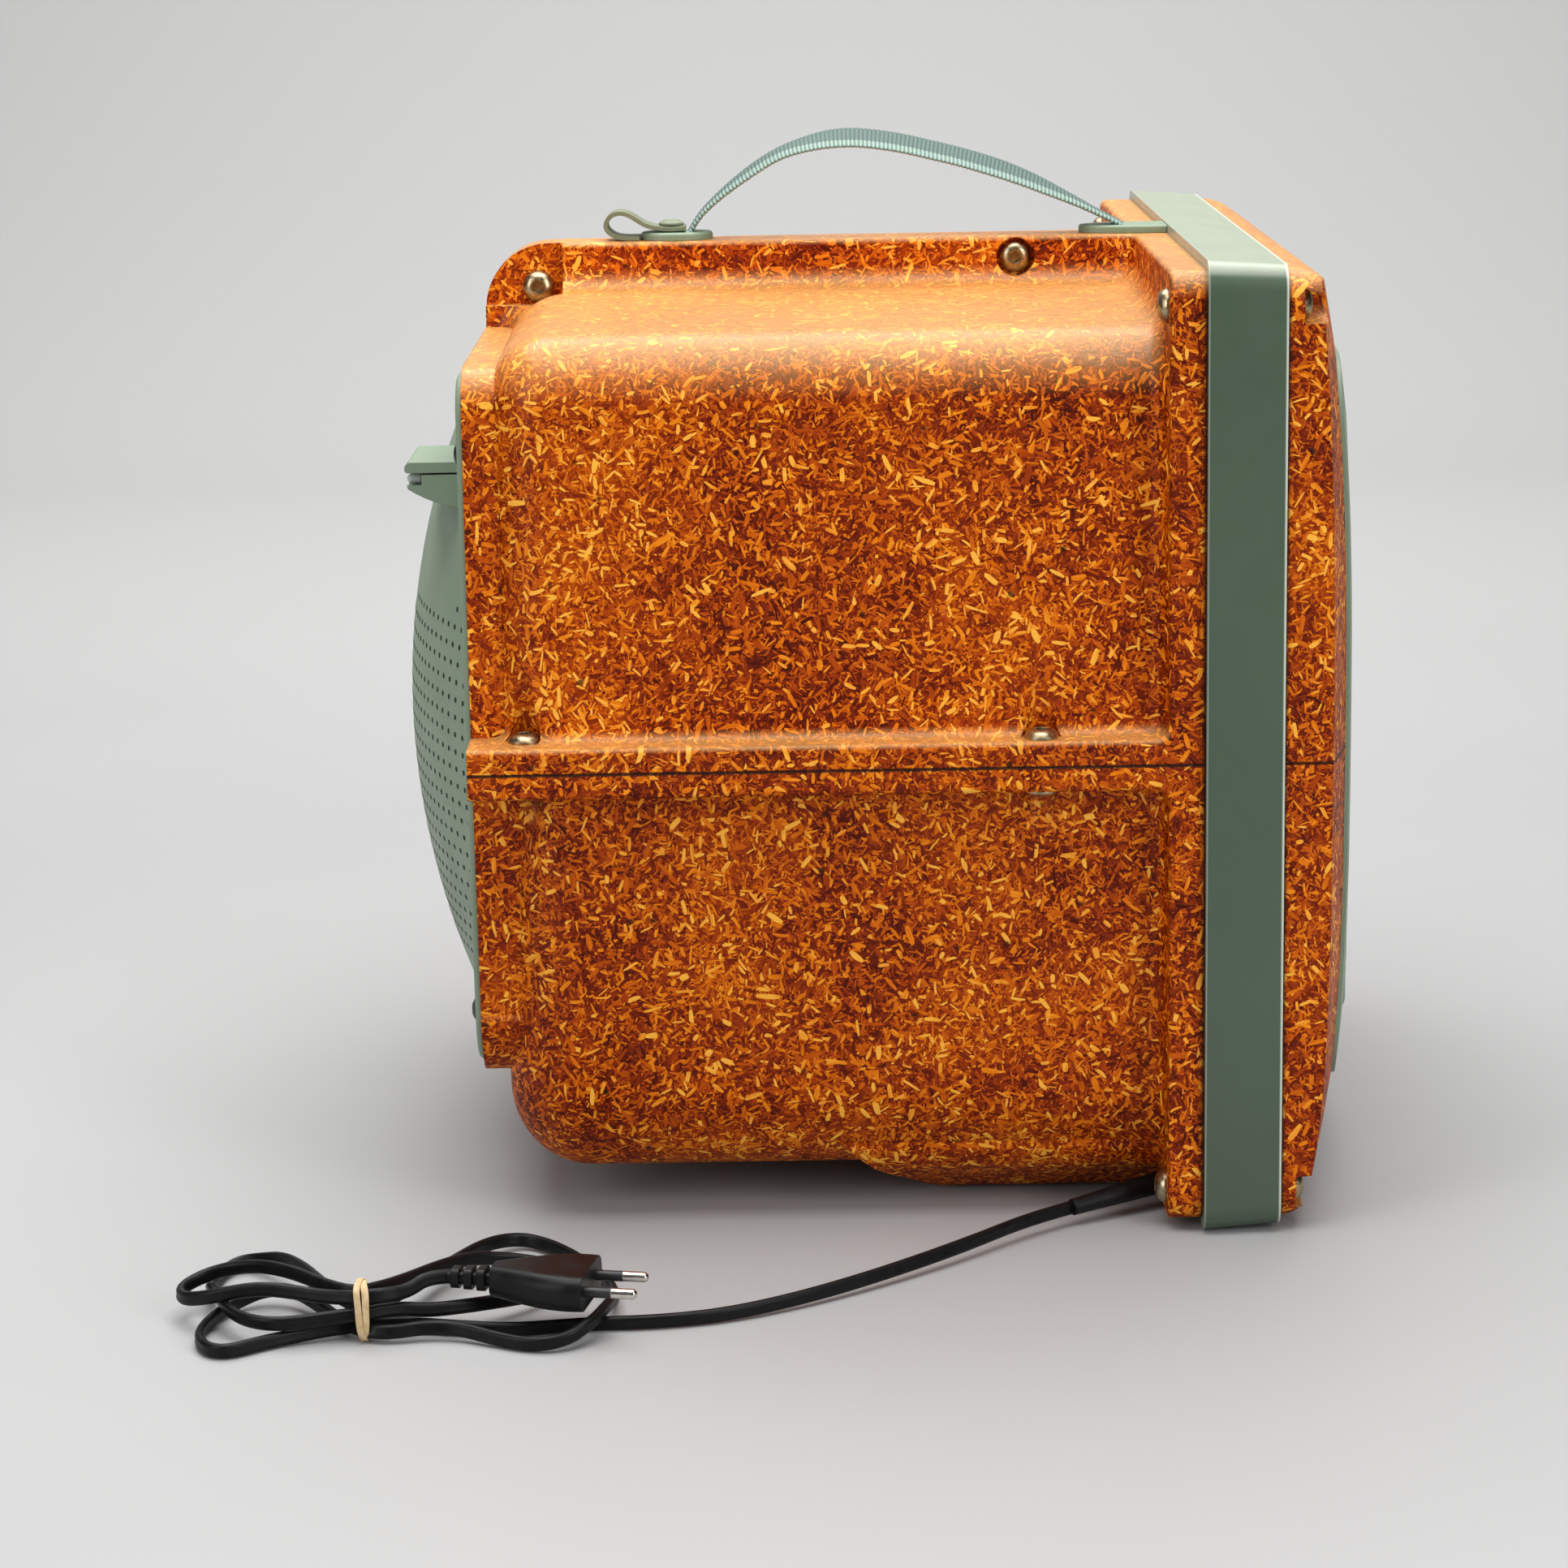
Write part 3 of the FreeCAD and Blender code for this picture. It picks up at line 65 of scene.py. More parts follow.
# ------------------------------------------------------------------ mesh helpers
def make_mesh(name, verts, faces, smooth=True):
    me = bpy.data.meshes.new(name)
    me.from_pydata([tuple(v) for v in verts], [], faces)
    me.validate()
    if smooth:
        me.polygons.foreach_set("use_smooth", [True] * len(me.polygons))
    me.update()
    ob = bpy.data.objects.new(name, me)
    scene.collection.objects.link(ob)
    return ob


def sweep(name, pts, section, frames=None, closed=False, cap=True):
    """section(i, n) gives 2-D points; frames[i] = (side, up) unit vectors."""
    verts, faces = [], []
    n = len(pts)
    m = None
    for i, p in enumerate(pts):
        sec = section(i, n)
        m = len(sec)
        a, b = frames[i]
        for (u, v) in sec:
            verts.append(Vector(p) + a * u + b * v)
    last = n if closed else n - 1
    for i in range(last):
        j = (i + 1) % n
        for k in range(m):
            l = (k + 1) % m
            faces.append((i * m + k, i * m + l, j * m + l, j * m + k))
    if cap and not closed:
        for base, flip in ((0, True), ((n - 1) * m, False)):
            c = sum((verts[base + k] for k in range(m)), Vector()) / m
            verts.append(c)
            ci = len(verts) - 1
            for k in range(m):
                l = (k + 1) % m
                faces.append((base + l, base + k, ci) if flip else (base + k, base + l, ci))
    return make_mesh(name, verts, faces)


def catmull(P, t):
    """P is a list of tuples; t runs from 0 to len(P) - 1."""
    n = len(P)
    i = min(max(int(t), 0), n - 2)
    f = t - i
    p0 = Vector(P[max(i - 1, 0)]); p1 = Vector(P[i]); p2 = Vector(P[i + 1]); p3 = Vector(P[min(i + 2, n - 1)])
    return 0.5 * ((2 * p1) + (p2 - p0) * f + (2 * p0 - 5 * p1 + 4 * p2 - p3) * f * f + (3 * p1 - p0 - 3 * p2 + p3) * f ** 3)


def smooth01(x):
    x = min(max(x, 0.0), 1.0)
    return x * x * (3 - 2 * x)


# ------------------------------------------------------------------ node helpers
class Mat:
    def __init__(s, name):
        s.m = bpy.data.materials.new(name)
        s.m.use_nodes = True
        s.t = s.m.node_tree
        s.t.nodes.clear()
        s.out = s.t.nodes.new("ShaderNodeOutputMaterial")
        s.b = s.t.nodes.new("ShaderNodeBsdfPrincipled")
        s.t.links.new(s.b.outputs[0], s.out.inputs["Surface"])
        s.tc = s.t.nodes.new("ShaderNodeTexCoord")
        s.obj = s.tc.outputs["Object"]
        s.nrm = s.tc.outputs["Normal"]

    def set(s, **kw):
        for k, v in kw.items():
            s.b.inputs[k.replace("_", " ")].default_value = v
        return s

    def put(s, sock, v):
        if hasattr(v, "is_output") or isinstance(v, bpy.types.NodeSocket):
            s.t.links.new(v, sock)
        elif v is not None:
            if sock.type == "RGBA" and len(v) == 3:
                v = (*v, 1.0)
            sock.default_value = v

    def node(s, kind, ins=None, **attrs):
        n = s.t.nodes.new(kind)
        for k, v in attrs.items():
            setattr(n, k, v)
        for k, v in (ins or {}).items():
            s.put(n.inputs[k], v)
        return n

    def noise(s, scale, detail=3.0, rough=0.5, vec=None, dist=0.0):
        return s.node("ShaderNodeTexNoise", {"Vector": vec or s.obj, "Scale": scale, "Detail": detail, "Roughness": rough, "Distortion": dist}).outputs["Fac"]

    def math(s, op, a, b=0.0, c=0.0, clamp=False):
        n = s.node("ShaderNodeMath", operation=op, use_clamp=clamp)
        for i, v in enumerate((a, b, c)):
            if i < len(n.inputs):
                s.put(n.inputs[i], v)
        return n.outputs[0]

    def vmath(s, op, a, b=None, scale=None):
        n = s.node("ShaderNodeVectorMath", operation=op)
        s.put(n.inputs[0], a)
        if b is not None:
            s.put(n.inputs[1], b)
        if scale is not None:
            s.put(n.inputs["Scale"], scale)
        return n.outputs["Value"] if op in ("DOT_PRODUCT", "LENGTH", "DISTANCE") else n.outputs["Vector"]

    def ramp(s, fac, stops, mode="LINEAR"):
        n = s.t.nodes.new("ShaderNodeValToRGB")
        n.color_ramp.interpolation = mode
        el = n.color_ramp.elements
        while len(el) < len(stops):
            el.new(0.5)
        for e, (p, c) in zip(el, stops):
            e.position = p
            e.color = (c, c, c, 1) if isinstance(c, (int, float)) else (*c, 1)
        s.t.links.new(fac, n.inputs[0])
        return n.outputs["Color"]

    def maprange(s, v, a, b, c=0.0, d=1.0, smooth=False):
        n = s.node("ShaderNodeMapRange", interpolation_type="SMOOTHSTEP" if smooth else "LINEAR")
        for k, x in (("Value", v), ("From Min", a), ("From Max", b), ("To Min", c), ("To Max", d)):
            s.put(n.inputs[k], x)
        return n.outputs["Result"]

    def mix(s, fac, a, b, blend="MIX"):
        n = s.node("ShaderNodeMix", data_type="RGBA", blend_type=blend)
        s.put(n.inputs[0], fac)
        s.put(n.inputs[6], a)
        s.put(n.inputs[7], b)
        return n.outputs[2]

    def scaled(s, xyz, vec=None):
        return s.vmath("MULTIPLY", vec or s.obj, xyz)

    def bump(s, height, strength=0.3, dist=0.0005, normal=None):
        n = s.node("ShaderNodeBump", {"Height": height, "Strength": strength, "Distance": dist})
        if normal is not None:
            s.t.links.new(normal, n.inputs["Normal"])
        return n.outputs[0]

    def bevel(s, r, samples=4):
        n = s.node("ShaderNodeBevel", {"Radius": r}, samples=samples)
        return n.outputs[0]

    def col(s, v):
        s.put(s.b.inputs["Base Color"], v)
        return s

    def rough(s, v):
        s.put(s.b.inputs["Roughness"], v)
        return s

    def normal(s, v):
        s.t.links.new(v, s.b.inputs["Normal"])
        return s


# ------------------------------------------------------------------ pressed chipboard
def chip_group():
    g = bpy.data.node_groups.new("chip_layer", "ShaderNodeTree")
    itf = g.interface
    for nm, ty in (("Vector", "NodeSocketVector"), ("Normal", "NodeSocketVector"), ("Scale", "NodeSocketFloat"), ("Length", "NodeSocketFloat"),
                   ("Width", "NodeSocketFloat"), ("Seed", "NodeSocketVector"), ("Keep", "NodeSocketFloat"), ("Soft", "NodeSocketFloat"),
                   ("Under", "NodeSocketFloat"), ("Tone", "NodeSocketFloat"), ("Gain", "NodeSocketFloat"), ("Offset", "NodeSocketFloat")):
        itf.new_socket(nm, in_out="INPUT", socket_type=ty)
    for nm in ("Mask", "Over"):
        itf.new_socket(nm, in_out="OUTPUT", socket_type="NodeSocketFloat")
    h = Mat.__new__(Mat)
    h.t = g
    gi = g.nodes.new("NodeGroupInput"); go = g.nodes.new("NodeGroupOutput")
    I = gi.outputs
    p = h.vmath("ADD", h.vmath("SCALE", I["Vector"], scale=I["Scale"]), I["Seed"])
    vo = h.node("ShaderNodeTexVoronoi", {"Vector": p, "Scale": 1.0, "Randomness": 1.0}, voronoi_dimensions="3D", feature="F1")
    off = h.vmath("SUBTRACT", p, vo.outputs["Position"])
    sep = h.node("ShaderNodeSeparateColor", {"Color": vo.outputs["Color"]}).outputs
    t1 = h.vmath("NORMALIZE", h.vmath("CROSS_PRODUCT", I["Normal"], (0.31, 0.77, 0.55)))
    t2 = h.vmath("CROSS_PRODUCT", I["Normal"], t1)
    th = h.math("MULTIPLY", sep[0], 6.2832)
    c, s_ = h.math("COSINE", th), h.math("SINE", th)
    a, b = h.vmath("DOT_PRODUCT", off, t1), h.vmath("DOT_PRODUCT", off, t2)
    u = h.math("ADD", h.math("MULTIPLY", a, c), h.math("MULTIPLY", b, s_))
    v = h.math("SUBTRACT", h.math("MULTIPLY", b, c), h.math("MULTIPLY", a, s_))
    wn = h.node("ShaderNodeTexWhiteNoise", {"Vector": vo.outputs["Position"]}, noise_dimensions="3D")
    ws = h.node("ShaderNodeSeparateColor", {"Color": wn.outputs["Color"]}).outputs
    le = h.math("MULTIPLY", I["Length"], h.math("MULTIPLY_ADD", sep[1], 0.9, 0.55))
    we = h.math("MULTIPLY", I["Width"], h.math("MULTIPLY_ADD", sep[2], 1.0, 0.5))
    # a sliver: pointed or broken ends
    uu = h.math("DIVIDE", h.math("ABSOLUTE", u), le)
    taper = h.math("MULTIPLY_ADD", h.math("POWER", uu, 2.5), -0.55, 1.0)
    vv = h.math("DIVIDE", h.math("ABSOLUTE", v), h.math("MULTIPLY", we, taper))
    d = h.math("MINIMUM", h.math("MULTIPLY", h.math("SUBTRACT", 1.0, uu), h.math("DIVIDE", le, we)), h.math("SUBTRACT", 1.0, vv))
    m = h.maprange(d, 0.0, I["Soft"], 0.0, 1.0, True)
    keep = h.math("LESS_THAN", ws[0], I["Keep"])
    mask = h.math("MULTIPLY", m, keep)
    cv = h.node("ShaderNodeCombineXYZ", {"X": h.math("MULTIPLY", u, 1.2), "Y": h.math("MULTIPLY", v, 9.0), "Z": h.math("MULTIPLY", ws[2], 60.0)}).outputs[0]
    gr = h.node("ShaderNodeTexNoise", {"Vector": cv, "Scale": 1.0, "Detail": 1.0}).outputs["Fac"]
    val = h.math("ADD", h.math("MULTIPLY_ADD", ws[1], I["Gain"], I["Offset"]), I["Tone"])
    val = h.math("MULTIPLY_ADD", h.math("SUBTRACT", gr, 0.5), 0.38, val, clamp=True)
    # the seam round a chip is dark with resin
    rim = h.maprange(mask, 0.10, 0.85, 0.32, 1.0)
    val = h.math("MULTIPLY", val, rim)
    over = h.math("MULTIPLY_ADD", h.math("SUBTRACT", val, I["Under"]), mask, I["Under"])
    g.links.new(mask, go.inputs["Mask"])
    g.links.new(over, go.inputs["Over"])
    return g


PART_Z = 0.188
HOOP_FRONT = -0.1535
CHIP = chip_group()
CHIP_STOPS = [(0.0, (0.060, 0.004, 0.0001)), (0.16, (0.165, 0.013, 0.0001)), (0.36, (0.375, 0.047, 0.0002)), (0.58, (0.580, 0.110, 0.0005)),
              (0.82, (0.800, 0.220, 0.0040)), (1.0, (0.920, 0.440, 0.0500))]


def chipboard(name):
    M = Mat(name)
    nrm = M.nrm
    warp = M.node("ShaderNodeTexNoise", {"Vector": M.obj, "Scale": 150.0, "Detail": 1.0}).outputs["Color"]
    pos = M.vmath("ADD", M.obj, M.vmath("SCALE", M.vmath("SUBTRACT", warp, (0.5, 0.5, 0.5)), scale=0.0012))
    big = M.noise(13.0, 3.0, 0.55)
    mid_ = M.noise(48.0, 2.0, 0.5)
    tone = M.math("MULTIPLY_ADD", M.math("SUBTRACT", big, 0.5), 0.62, M.math("MULTIPLY", M.math("SUBTRACT", mid_, 0.5), 0.42))
    v = M.maprange(M.math("ADD", M.noise(760.0, 2.0, 0.7), tone), 0.28, 0.72, 0.0, 0.36)
    height = M.noise(190.0, 3.0, 0.6)
    layers = [
        # cells per metre, half length, half width, seed, share kept, softness, gain, offset
        (300.0, 0.46, 0.125, (3.1, 7.7, 1.3), 0.95, 0.55, 0.72, 0.02),
        (285.0, 0.48, 0.130, (13.1, 2.7, 8.3), 0.95, 0.50, 0.74, 0.02),
        (270.0, 0.46, 0.125, (23.9, 17.7, 4.9), 0.92, 0.45, 0.78, 0.03),
        (255.0, 0.48, 0.125, (43.7, 9.1, 31.3), 0.92, 0.45, 0.80, 0.03),
        (245.0, 0.50, 0.120, (53.3, 39.1, 11.9), 0.92, 0.40, 0.82, 0.05),
        (225.0, 0.48, 0.135, (7.3, 51.9, 16.1), 0.92, 0.30, 0.90, 0.05),
        (205.0, 0.50, 0.140, (71.3, 5.9, 36.7), 0.90, 0.28, 0.94, 0.07),
        (186.0, 0.50, 0.140, (17.1, 63.3, 46.2), 0.82, 0.25, 0.98, 0.08),
        (128.0, 0.42, 0.120, (61.3, 27.1, 5.7), 0.30, 0.18, 0.85, 0.30),
    ]
    for q, (sc, L, Wd, seed, keep, soft, gain, offs) in enumerate(layers):
        n = M.node("ShaderNodeGroup", node_tree=CHIP)
        for k, x in (("Vector", pos), ("Normal", nrm), ("Scale", sc), ("Length", L), ("Width", Wd), ("Seed", seed), ("Keep", keep), ("Soft", soft),
                     ("Under", v), ("Tone", tone), ("Gain", gain), ("Offset", offs)):
            M.put(n.inputs[k], x)
        v = n.outputs["Over"]
        if q in (3, 5, 7):
            height = M.math("MULTIPLY_ADD", n.outputs["Mask"], 0.45, height)
    colr = M.ramp(v, CHIP_STOPS)
    specks = M.node("ShaderNodeTexVoronoi", {"Vector": M.scaled((105.0, 105.0, 105.0), pos), "Scale": 1.0}, feature="F1")
    sr = M.node("ShaderNodeTexWhiteNoise", {"Vector": specks.outputs["Position"]}, noise_dimensions="3D").outputs["Value"]
    spk = M.math("MULTIPLY", M.maprange(specks.outputs["Distance"], 0.17, 0.09), M.math("LESS_THAN", sr, 0.16))
    colr = M.mix(M.math("MULTIPLY", spk, 0.85), colr, (0.020, 0.006, 0.002))
    # joints: between the shells' side flanges and along the spine; against the hoop, painted shade where the shells
    # run into it
    xyz = M.node("ShaderNodeSeparateXYZ", {"Vector": M.obj}).outputs
    wob = M.math("MULTIPLY", M.math("SUBTRACT", M.noise(70.0, 2.0), 0.5), 0.0004)
    zline = M.maprange(M.math("ABSOLUTE", M.math("SUBTRACT", M.math("ADD", xyz[2], wob), PART_Z)), 0.00085, 0.00045)
    xline = M.math("MULTIPLY", M.maprange(M.math("ABSOLUTE", M.math("ADD", xyz[0], wob)), 0.0007, 0.0004), M.maprange(xyz[2], 0.30, 0.31))
    # painted shade: the wood is darkened inside both rims of the hoop, in the gap where the shells meet it
    hoop_gap_shade_rear = M.math("MULTIPLY", M.maprange(xyz[1], -0.1216, -0.1229), M.maprange(xyz[1], -0.1385, -0.1380))
    hoop_gap_shade_front = M.math("MULTIPLY", M.maprange(xyz[1], HOOP_FRONT - 0.0016, HOOP_FRONT - 0.0004), M.maprange(xyz[1], -0.1385, -0.1390))
    dark = M.math("MAXIMUM", M.math("MAXIMUM", zline, xline), M.math("MAXIMUM", hoop_gap_shade_rear, hoop_gap_shade_front), clamp=True)
    colr = M.mix(M.math("MULTIPLY", dark, 0.93), colr, (0.016, 0.004, 0.001))
    # upper faces are painted a pale gold: painted highlight from the overhead light
    up_n = M.node("ShaderNodeSeparateXYZ", {"Vector": nrm}).outputs[2]
    colr = M.mix(M.maprange(up_n, 0.12, 0.85, 0.0, 0.66), colr, M.mix(0.34, (0.770, 0.425, 0.125), colr))
    M.col(colr)
    # satin varnish: wavy at a few millimetres, with the chips faintly telegraphing through
    M.rough(M.maprange(M.noise(330.0, 2.0), 0.3, 0.7, 0.46, 0.62))
    n0 = M.bevel(0.0011, 3)
    n1 = M.bump(height, 0.38, 0.0005, n0)
    M.normal(n1)
    M.t.links.new(n1, M.b.inputs["Coat Normal"])
    M.set(Specular_IOR_Level=0.08, Coat_Weight=0.40, Coat_Roughness=0.30, Coat_IOR=1.5)
    # the varnish lies thicker on the upper faces, where it settled
    M.put(M.b.inputs["Coat Weight"], M.maprange(up_n, 0.05, 0.75, 0.12, 0.45))
    return M.m


def speckle_paint(name, base, var=0.06, rough=0.42, streak=None, bev=0.0006, grain=1500.0, gstr=0.10, coat=0.0):
    M = Mat(name)
    a = M.noise(grain, 2.0, 0.5)
    b = M.noise(14.0, 3.0, 0.6)
    lo = tuple(c * (1 - var * 2) for c in base); hi = tuple(min(c * (1 + var * 2), 1) for c in base)
    c = M.ramp(M.math("ADD", M.math("MULTIPLY", b, 0.7), M.math("MULTIPLY", a, 0.3)), [(0.25, lo), (0.75, hi)])
    if streak:
        sv = M.noise(1.0, 3.0, 0.6, M.scaled(streak))
        c = M.mix(M.maprange(sv, 0.46, 0.70, 0.0, 0.45), c, tuple(min(x * 1.25 + 0.02, 1) for x in base))
    M.col(c)
    M.rough(M.maprange(M.noise(40.0, 4.0, 0.65), 0.3, 0.7, rough - 0.07, rough + 0.09))
    nb = M.bevel(bev, 3) if bev else None
    M.normal(M.bump(a, gstr, 0.0002, nb))
    M.set(Specular_IOR_Level=0.5, Coat_Weight=coat, Coat_Roughness=0.3)
    return M


def metal(name, base, rough=0.3, aniso=0.0, stain=0.35, dark=None, bev=0.0004):
    M = Mat(name)
    f = M.noise(260.0, 4.0, 0.6)
    dk = dark or tuple(c * 0.55 for c in base)
    M.col(M.ramp(f, [(0.30, dk), (0.62, base)]))
    M.rough(M.maprange(M.noise(700.0, 3.0), 0.3, 0.7, rough * 0.75, rough * 1.4))
    M.normal(M.bump(M.noise(1600.0, 2.0), 0.06, 0.0001, M.bevel(bev, 3)))
    M.set(Metallic=1.0)
    return M


def plastic(name, base, rough=0.45, var=0.1, grain=2200.0, gstr=0.12, bev=0.0004):
    M = Mat(name)
    a = M.noise(grain, 2.0)
    lo = tuple(c * (1 - var) for c in base); hi = tuple(min(c * (1 + var), 1) for c in base)
    M.col(M.ramp(M.noise(60.0, 3.0), [(0.3, lo), (0.7, hi)]))
    M.rough(M.maprange(M.noise(180.0, 3.0), 0.3, 0.7, rough - 0.06, rough + 0.08))
    M.normal(M.bump(a, gstr, 0.00015, M.bevel(bev, 3)))
    M.set(Specular_IOR_Level=0.5)
    return M


wood = chipboard("chipboard")
band_paint = speckle_paint("green_paint", (0.054, 0.090, 0.052), 0.05, 0.38, coat=0.42)
cover_green = speckle_paint("green_plastic", (0.210, 0.278, 0.192), 0.045, 0.50, gstr=0.22, grain=1300.0)
plate_green = speckle_paint("plate_green", (0.195, 0.262, 0.178), 0.05, 0.46)
tab_mat = plastic("tab_rubber", (0.165, 0.190, 0.115), 0.55, 0.12, 2600.0, 0.22)
screw = metal("bronzed_steel", (0.52, 0.43, 0.27), 0.30, dark=(0.26, 0.19, 0.10))
black_steel = metal("black_steel", (0.10, 0.10, 0.11), 0.42)
chrome = metal("bright_chrome", (0.80, 0.80, 0.80), 0.16)
brass = metal("socket_brass", (0.72, 0.55, 0.25), 0.28)
steel = metal("steel_band", (0.46, 0.47, 0.49), 0.38)
tin = metal("tin_plate", (0.66, 0.67, 0.68), 0.30)
alu = metal("raw_aluminium", (0.70, 0.71, 0.72), 0.36)
white_p = plastic("white_plastic", (0.62, 0.61, 0.57), 0.42)
dark_p = plastic("dark_plastic", (0.035, 0.036, 0.040), 0.40)
tip_p = plastic("tip_plastic", (0.46, 0.49, 0.46), 0.32)
ferrite = plastic("yoke_ferrite", (0.050, 0.045, 0.045), 0.62, 0.25, 1200.0, 0.4)
cap_sleeve = plastic("capacitor_sleeve", (0.025, 0.040, 0.090), 0.30)
tape = plastic("coil_tape", (0.045, 0.042, 0.040), 0.55, 0.25, 900.0, 0.4)
key_p = plastic("button_plastic", (0.075, 0.105, 0.085), 0.38)
ir_p = plastic("ir_plastic", (0.030, 0.004, 0.006), 0.12, 0.1)

board = Mat("circuit_board")
tracks = board.node("ShaderNodeTexBrick", {"Vector": board.scaled((1.0, 1.0, 1.0)), "Scale": 60.0, "Mortar Size": 0.03, "Color1": (0.05, 0.16, 0.06), "Color2": (0.07, 0.20, 0.07), "Mortar": (0.10, 0.26, 0.09)})
board.col(board.mix(board.maprange(board.noise(300.0), 0.4, 0.7), tracks.outputs["Color"], (0.20, 0.12, 0.05)))
board.rough(board.maprange(board.noise(150.0), 0.3, 0.7, 0.3, 0.5))

glass = Mat("screen_glass")
glass.col(glass.ramp(glass.noise(6.0, 2.0), [(0.3, (0.030, 0.036, 0.034)), (0.7, (0.042, 0.048, 0.046))]))
glass.rough(glass.maprange(glass.noise(60.0, 3.0), 0.3, 0.7, 0.06, 0.11))
glass.set(Specular_IOR_Level=0.6, Coat_Weight=1.0, Coat_Roughness=0.03)

cone = Mat("cone_glass")
cone.col(cone.ramp(cone.noise(30.0, 3.0), [(0.3, (0.020, 0.020, 0.022)), (0.7, (0.040, 0.040, 0.044))]))
cone.rough(cone.maprange(cone.noise(90.0, 3.0), 0.3, 0.7, 0.35, 0.6))

# the cover's paint is chipped at the corner of the rod's bracket
ch = cover_green
dist = ch.vmath("DISTANCE", ch.obj, (-0.101, 0.1868, 0.2966))
chipmask = ch.maprange(ch.math("ADD", ch.math("MULTIPLY", dist, 380.0), ch.math("MULTIPLY", ch.noise(700.0, 2.0), 1.5)), 1.75, 1.25)
src = ch.b.inputs["Base Color"].links[0].from_socket
ch.col(ch.mix(chipmask, src, (0.045, 0.055, 0.048)))

# the hoop's scratch on its upper face
hb = band_paint
sx = hb.node("ShaderNodeSeparateXYZ", {"Vector": hb.obj}).outputs
line = hb.math("ABSOLUTE", hb.math("SUBTRACT", hb.math("ADD", sx[0], hb.math("MULTIPLY", hb.math("SUBTRACT", hb.noise(120.0, 2.0), 0.5), 0.004)), -0.088))
scr = hb.math("MULTIPLY", hb.maprange(line, 0.00035, 0.00012), hb.math("MULTIPLY", hb.maprange(sx[2], 0.3785, 0.3792), hb.maprange(sx[1], -0.1400, -0.1420)))
src = hb.b.inputs["Base Color"].links[0].from_socket
src = hb.mix(hb.math("MULTIPLY", scr, 0.7), src, (0.035, 0.060, 0.045))
# both rims of the hoop are painted bright: a painted highlight along each edge
rim_highlight_front = hb.maprange(sx[1], HOOP_FRONT + 0.0011, HOOP_FRONT + 0.0005)
rim_highlight_rear = hb.math("MULTIPLY", hb.maprange(sx[1], -0.12405, -0.12375), 0.45)
# its top is painted lighter: a painted highlight on the upward faces
hn = hb.node("ShaderNodeSeparateXYZ", {"Vector": hb.nrm}).outputs[2]
src = hb.mix(hb.maprange(hn, 0.50, 0.99, 0.0, 0.80), src, hb.mix(0.25, (0.420, 0.480, 0.340), src))
hb.col(hb.mix(hb.math("MULTIPLY", hb.math("MAXIMUM", rim_highlight_front, rim_highlight_rear), 0.9), src, (0.62, 0.66, 0.56)))

# pins: bare nickel tips, black sleeves next to the body
PLUG_ANG = math.radians(-11.0)
PF = mm(-286.0, 111.5, 19.0)
PU = Vector((math.sin(-PLUG_ANG), math.cos(PLUG_ANG), 0.0))       # from the face back along the plug
PX = Vector((math.cos(PLUG_ANG), -math.sin(-PLUG_ANG), 0.0))      # across the plug
pin = Mat("pin_nickel")
along = pin.vmath("DOT_PRODUCT", pin.vmath("SUBTRACT", pin.obj, tuple(PF)), tuple(PU))
sl = pin.maprange(along, -0.0102, -0.0099)
pin.col(pin.mix(sl, pin.ramp(pin.noise(600.0), [(0.3, (0.55, 0.52, 0.46)), (0.7, (0.74, 0.71, 0.64))]), (0.016, 0.016, 0.018)))
pin.put(pin.b.inputs["Metallic"], pin.maprange(sl, 0.4, 0.6, 1.0, 0.0))
pin.rough(pin.maprange(sl, 0.0, 1.0, 0.22, 0.42))

sheath = Mat("lead_sheath")
sheath.col(sheath.ramp(sheath.noise(220.0, 3.0), [(0.3, (0.0030, 0.0030, 0.0034)), (0.7, (0.0060, 0.0060, 0.0066))]))
sheath.rough(sheath.maprange(sheath.noise(140.0, 4.0, 0.6), 0.3, 0.7, 0.34, 0.50))
sheath.normal(sheath.bump(sheath.noise(420.0, 3.0), 0.14, 0.0002))
sheath.set(Specular_IOR_Level=0.20)
plug_r = Mat("plug_rubber")
plug_r.col(plug_r.ramp(plug_r.noise(180.0, 3.0), [(0.3, (0.0032, 0.0032, 0.0036)), (0.7, (0.0064, 0.0064, 0.0070))]))
plug_r.rough(plug_r.maprange(plug_r.noise(90.0, 4.0, 0.6), 0.3, 0.7, 0.32, 0.48))
plug_r.set(Specular_IOR_Level=0.22)
plug_r.normal(plug_r.bump(plug_r.noise(1500.0, 2.0), 0.12, 0.0002, plug_r.bevel(0.0008, 3)))
elastic = Mat("elastic_band")
elastic.col(elastic.ramp(elastic.noise(400.0, 3.0), [(0.3, (0.52, 0.36, 0.18)), (0.7, (0.68, 0.52, 0.30))]))
elastic.rough(elastic.maprange(elastic.noise(300.0), 0.3, 0.7, 0.5, 0.7))
elastic.set(Subsurface_Weight=0.15, Subsurface_Radius=(0.002, 0.001, 0.0005), Subsurface_Scale=1.0)

web = Mat("webbing")
uvn = web.node("ShaderNodeAttribute", attribute_name="weave")
uvs = web.node("ShaderNodeSeparateXYZ", {"Vector": uvn.outputs["Vector"]}).outputs
fib = web.noise(1.0, 3.0, 0.6, web.vmath("MULTIPLY", uvn.outputs["Vector"], (2.6, 14.0, 1.0)))
# painted shade: the grooves between the ribs are coloured dark, the rib crowns light
weave_shaded_col = web.ramp(uvs[2], [(0.0, (0.022, 0.042, 0.036)), (0.40, (0.150, 0.235, 0.200)), (1.0, (0.300, 0.430, 0.365))])
weave_shaded_col = web.mix(web.maprange(fib, 0.3, 0.7, 0.0, 0.16), weave_shaded_col, (0.45, 0.56, 0.49))
